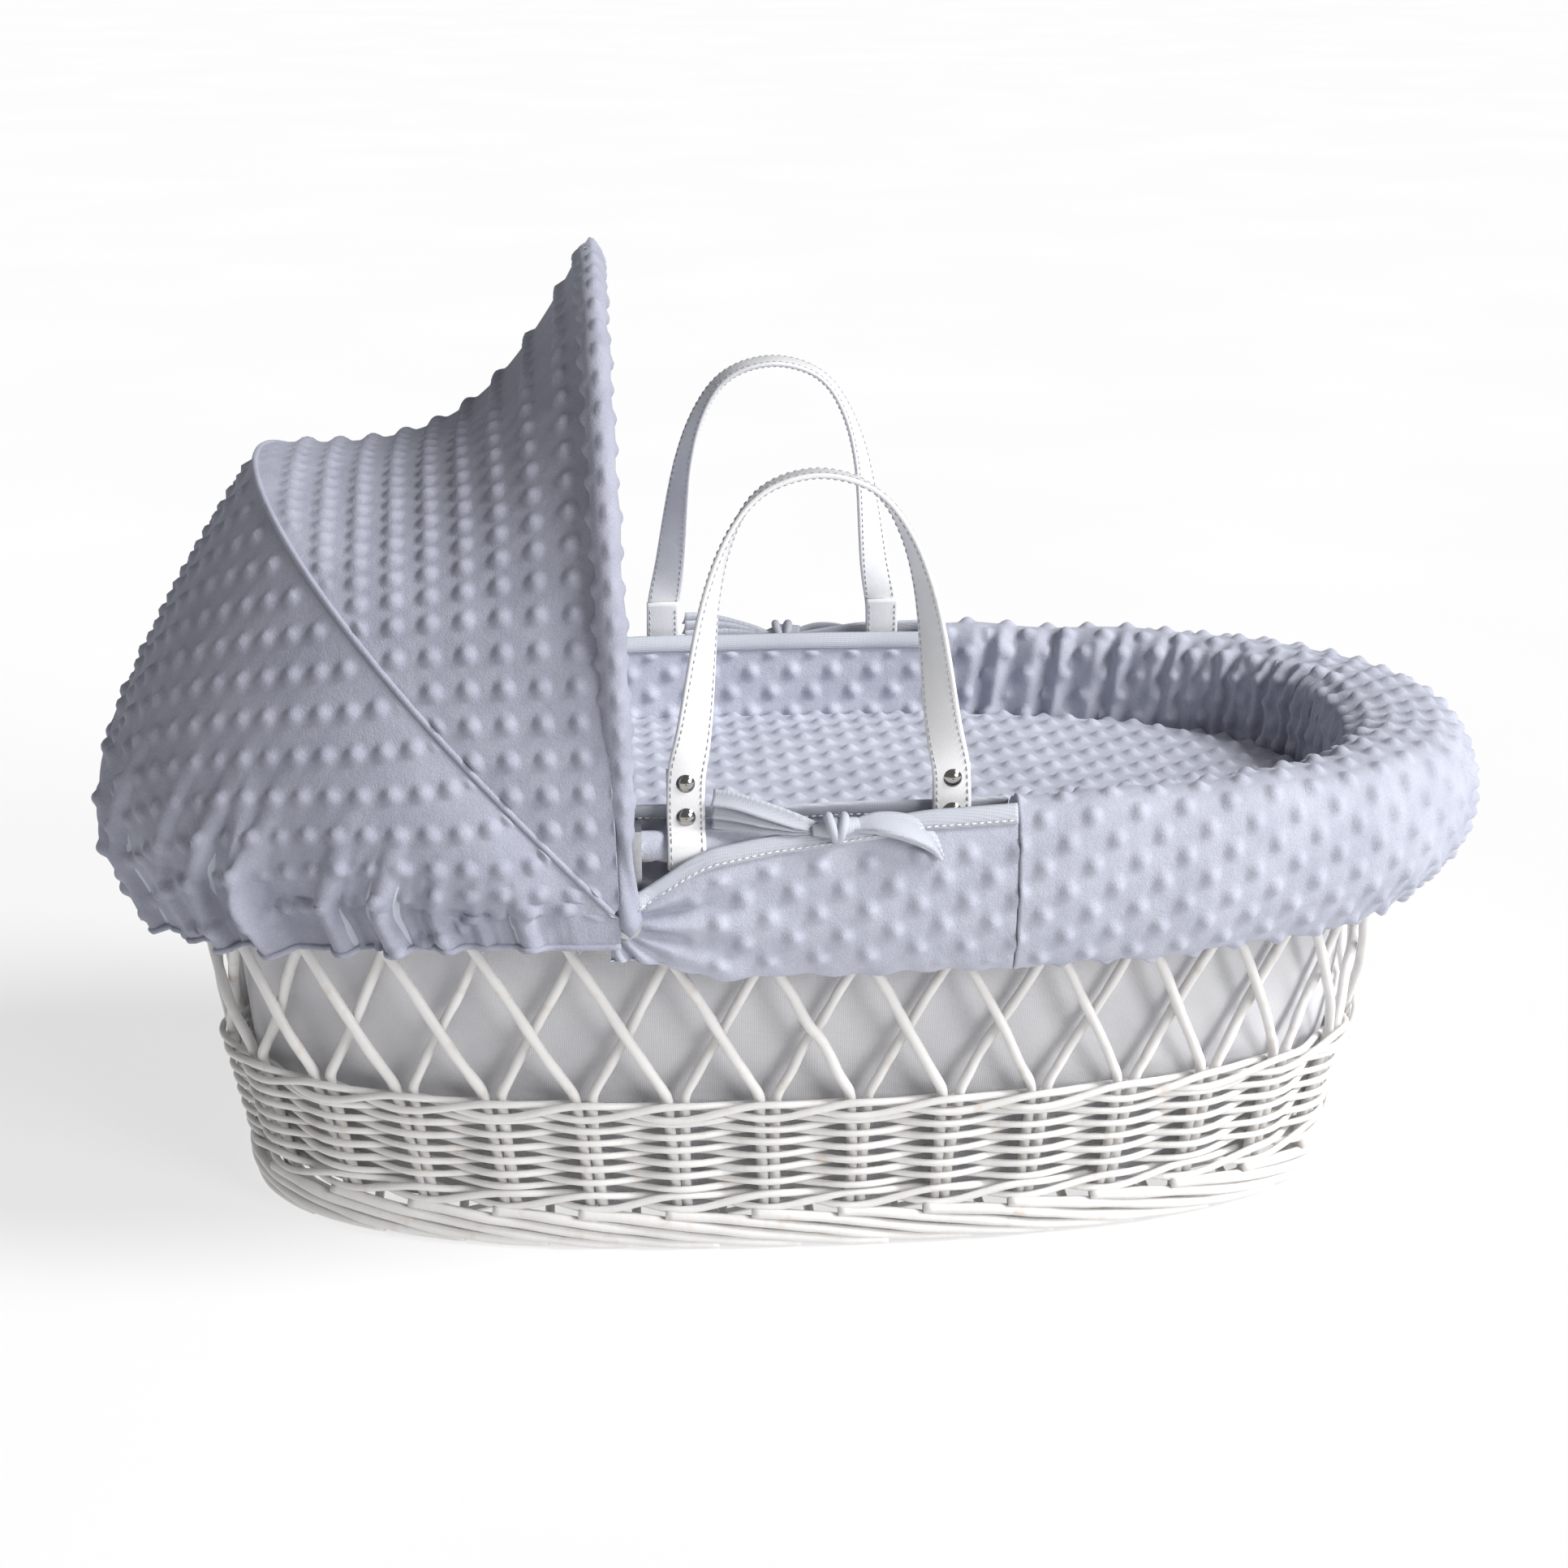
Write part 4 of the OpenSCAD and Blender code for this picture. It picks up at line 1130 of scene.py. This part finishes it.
def hood_hem():
    """The dotted tube of cloth round the front bow, twisted small where it meets the pivots."""
    path = bow_points(evenly(bow_curve(FRONT_REACH, -8), 440), FRONT_ANGLE)
    way = along(path)
    foot = np.minimum(way, way[-1] - way)
    sides = 26
    turn = 2 * math.pi * np.arange(sides) / sides
    off = bow_normal(FRONT_ANGLE)
    side = unit(np.cross(off, heading(path)))
    thick = (HEM_R - HEM_FOOT_R) * ramp(foot, 30, 120)
    knot = 3.5 * (1 - ramp(foot, 6, 30))
    closed_end = np.sqrt(np.clip(foot / 9, 0.02, 1))
    radius = (HEM_FOOT_R + thick + knot + 0.7 * waves(way, 60, 91)) * closed_end
    twist = 1.3 * (1 - ramp(foot, 0, 120))[:, None] * np.sin(3 * turn[None, :] + 0.11 * way[:, None])
    size = radius[:, None] + twist
    ring = np.cos(turn)[None, :, None] * side[:, None] + np.sin(turn)[None, :, None] * off
    points = path[:, None] + size[..., None] * ring
    points = np.concatenate([points, points[:, :1]], 1)
    cloth_round = 57
    around = cloth_round * np.arange(sides + 1) / sides
    cloth = np.stack(np.broadcast_arrays(way[:, None], around), -1)
    raised = dimpled(points, cloth, turned=False, side=-1, fade=0.85 * ramp(foot, 40, 90)[:, None])
    shape = Shape()
    shape.grid(raised[:, :-1], cloth[:, :-1], round_closed=True, ends=True)
    piece("hood_front_hem_tube", shape, HOOD_VELOUR_PAINTED_SHADE, "hood_front", ["hood_front_hem"])


def hood_piping():
    """The sewn seam over the middle bow."""
    q = even_arch(lambda turn: bow_points(arch(MID_REACH, turn, 6), MID_ANGLE), 5)
    line = bow_points(arch(MID_REACH, q, CLOTH_OUT), MID_ANGLE)
    shape = Shape()
    shape.tube(line, SEAM_R, ref=bow_normal(MID_ANGLE), sides=10)
    piece("hood_mid_seam", shape, HOOD_VELOUR_PAINTED_SHADE, "hood_mid", ["hood_mid_piping"])


def hood():
    """The cloths, hem and seam of the hood, over its bows."""
    hood_front()
    hood_rear()
    hood_hem()
    hood_piping()


# ---- handles ----
def strap_path():
    """The line of a handle strap and its width direction, drawn on the middle line of the basket."""
    rise = HANDLE_TOP - RIM_Z
    tab = [(FOOT_HALF, PLY_Y, up) for up in (TAB_TOP, 30, 14)]
    under = np.radians(np.arange(-30, 211, 20))
    loop = [(FOOT_HALF, LOOP_R * math.cos(q), -LOOP_R * math.sin(q)) for q in under]
    leg = [(FOOT_HALF, -PLY_Y, up) for up in (14, 30)]
    bend = [(1, TAB_TOP), (6, 74), (15, rise * 0.66), (28, rise * 0.85), (47, rise * 0.96)]
    leg += [(FOOT_HALF - back, -PLY_Y, up) for back, up in bend]
    right = np.array(tab + loop + leg)
    path = np.concatenate([right, [[0, -PLY_Y, rise]], right[::-1] * [-1, 1, 1]])
    turned = (math.pi / 2) * (np.clip(path[:, 2] - TAB_TOP, 0, None) / (rise - TAB_TOP)) ** 0.7
    sign = np.where(path[:, 0] >= 0, 1, -1)
    across = np.stack([np.cos(turned) * sign, -np.sin(turned), 0 * turned], -1)
    return smoothed(path, 6), smoothed(across, 6)


def on_side(points, far):
    """Puts points drawn on the middle line onto a handle's side of the rim."""
    c, s = math.cos(HANDLE_LEAN), math.sin(HANDLE_LEAN)
    y = points[..., 1] * c + points[..., 2] * s - HANDLE_Y
    z = points[..., 2] * c - points[..., 1] * s + RIM_Z
    placed = np.stack([points[..., 0], y, z], -1)
    return mirrored(placed) if far else placed


def strap_stitches(path, wide, thick, far):
    """Two rows of stitches on each face of a strap."""
    from_edge, pitch = 2.2, 4.2
    # Each stitch comes up out of the strap, runs along it and goes in again
    steps = np.array([0, 0.9, 1.9, 2.8])
    lift = np.array([-0.15, 0.2, 0.2, -0.15])[:, None]
    radius = [0.2, 0.42, 0.42, 0.2]
    shape = Shape()
    way = along(path)
    for row in (-1, 1):
        for face in (-1, 1):
            line = path + row * (STRAP_W / 2 - from_edge) * wide + face * (STRAP_T / 2 + 0.1) * thick
            for start in np.arange(4, way[-1] - 6, pitch):
                stitch = points_at(line, way, start + steps) + face * lift * points_at(thick, way, start)
                shape.tube(on_side(stitch, far), radius, ref=(0.3, 0.9, 0.2), sides=6)
    return shape


def handle(side):
    """A strap folded round the rim at both feet, with its stitches."""
    far = side == "far"
    body = "handle_" + side
    path, across = strap_path()
    run = heading(path)
    wide = unit(across - (across * run).sum(1, keepdims=True) * run)
    thick = np.cross(run, wide)
    half_w, half_t = STRAP_W / 2, STRAP_T / 2
    # Half of the section: places across the strap and shares of its half thickness
    upper = [(half_w, 0.45), (half_w - 0.5, 0.85), (half_w - 1.6, 1.0), (0.0, 1.1)]
    upper += [(-w, t) for w, t in upper[2::-1]]
    section = upper + [(-w, -t) for w, t in upper]
    rings = np.stack([path + w * wide + t * half_t * thick for w, t in section], 1)
    shape = Shape()
    shape.grid(on_side(rings, far), round_closed=True, ends=True)
    node = body + "_strap"
    strap = piece(f"handle_{side}_leather", shape, LEATHER, body, [node])
    stitches = strap_stitches(path, wide, thick, far)
    piece(f"handle_{side}_stitches", stitches, STRAP_THREAD, body, [])


# ---- carried-over CAD pieces ----
def finish_cad_nodes():
    """Gives each CAD node that stays in view its material."""
    frame_nodes = ("hood_clip_near", "hood_clip_far", "hood_pins", "hood_mid_bow", "hood_front_bow")
    for nodes, look in [
        (("base_hoop", "base_slats", "base_weave"), WICKER),
        (frame_nodes, STEEL),
        (("handle_near_rivets", "handle_far_rivets"), NICKEL),
    ]:
        for name in nodes:
            node = frame["nodes"][name]
            node.data.materials.clear()
            node.data.materials.append(look)


# ---- stage ----
def floor():
    """A wide pale floor that glows a little, so that it stays near white at its far side."""
    mesh = bpy.data.meshes.new("floor")
    half = 40
    corners = [(-half, -half, 0), (half, -half, 0), (half, half, 0), (-half, half, 0)]
    mesh.from_pydata(corners, [], [(0, 1, 2, 3)])
    glow = {"Emission_Color": (1, 1, 1, 1), "Emission_Strength": 0.66}
    look = Look("pale_floor", 0.9, Specular_IOR_Level=0.1, **glow)
    look.paint(look.colours(look.noise(2, 2), [(0.3, (0.29, 0.29, 0.29)), (0.7, (0.31, 0.31, 0.31))]))
    mesh.materials.append(look.material)
    made = bpy.data.objects.new("floor", mesh)
    bpy.context.scene.collection.objects.link(made)


def sun(name, strength, size, direction):
    """A sun that shines from a direction; its size in degrees softens the shadows."""
    light = bpy.data.lights.new(name, "SUN")
    light.energy = strength
    light.angle = math.radians(size)
    made = bpy.data.objects.new(name, light)
    made.rotation_euler = (-Vector(direction)).to_track_quat("-Z", "Y").to_euler()
    bpy.context.scene.collection.objects.link(made)


def lights():
    """Soft daylight all round, with more from the right and above."""
    world = bpy.data.worlds.new("studio")
    world.use_nodes = True
    sky = world.node_tree.nodes["Background"]
    sky.inputs["Color"].default_value = (1, 1, 1, 1)
    sky.inputs["Strength"].default_value = 0.2
    bpy.context.scene.world = world
    sun("key", strength=3.3, size=22, direction=(1.0, -0.35, 0.95))
    sun("side", strength=1.7, size=25, direction=(0.85, -0.9, 0.45))
    bpy.context.scene.view_settings.view_transform = "Standard"


def camera():
    """A long lens a little above the basket and slightly toward its head, from its long side."""
    look_at = Vector((-0.006, 0, 0.251))
    distance = 1.9
    azimuth, elevation = math.radians(-4.2), math.radians(18)
    level = math.cos(elevation)
    back = Vector((math.sin(azimuth) * level, -math.cos(azimuth) * level, math.sin(elevation)))
    data = bpy.data.cameras.new("camera")
    data.sensor_width = 36
    data.lens = 67.6
    made = bpy.data.objects.new("camera", data)
    made.location = look_at + distance * back
    made.rotation_euler = (-back).to_track_quat("-Z", "Y").to_euler()
    bpy.context.scene.collection.objects.link(made)
    bpy.context.scene.camera = made


SIDES = {"near": lambda points: points, "far": mirrored}

camera()
floor()
lights()
wicker()
tub()
bedding()
dressing_rolls()
for side, place in SIDES.items():
    side_panels(side, place)
skirt_elastic()
for side, place in SIDES.items():
    tie(side, place)
hood()
for side in SIDES:
    handle(side)
finish_cad_nodes()
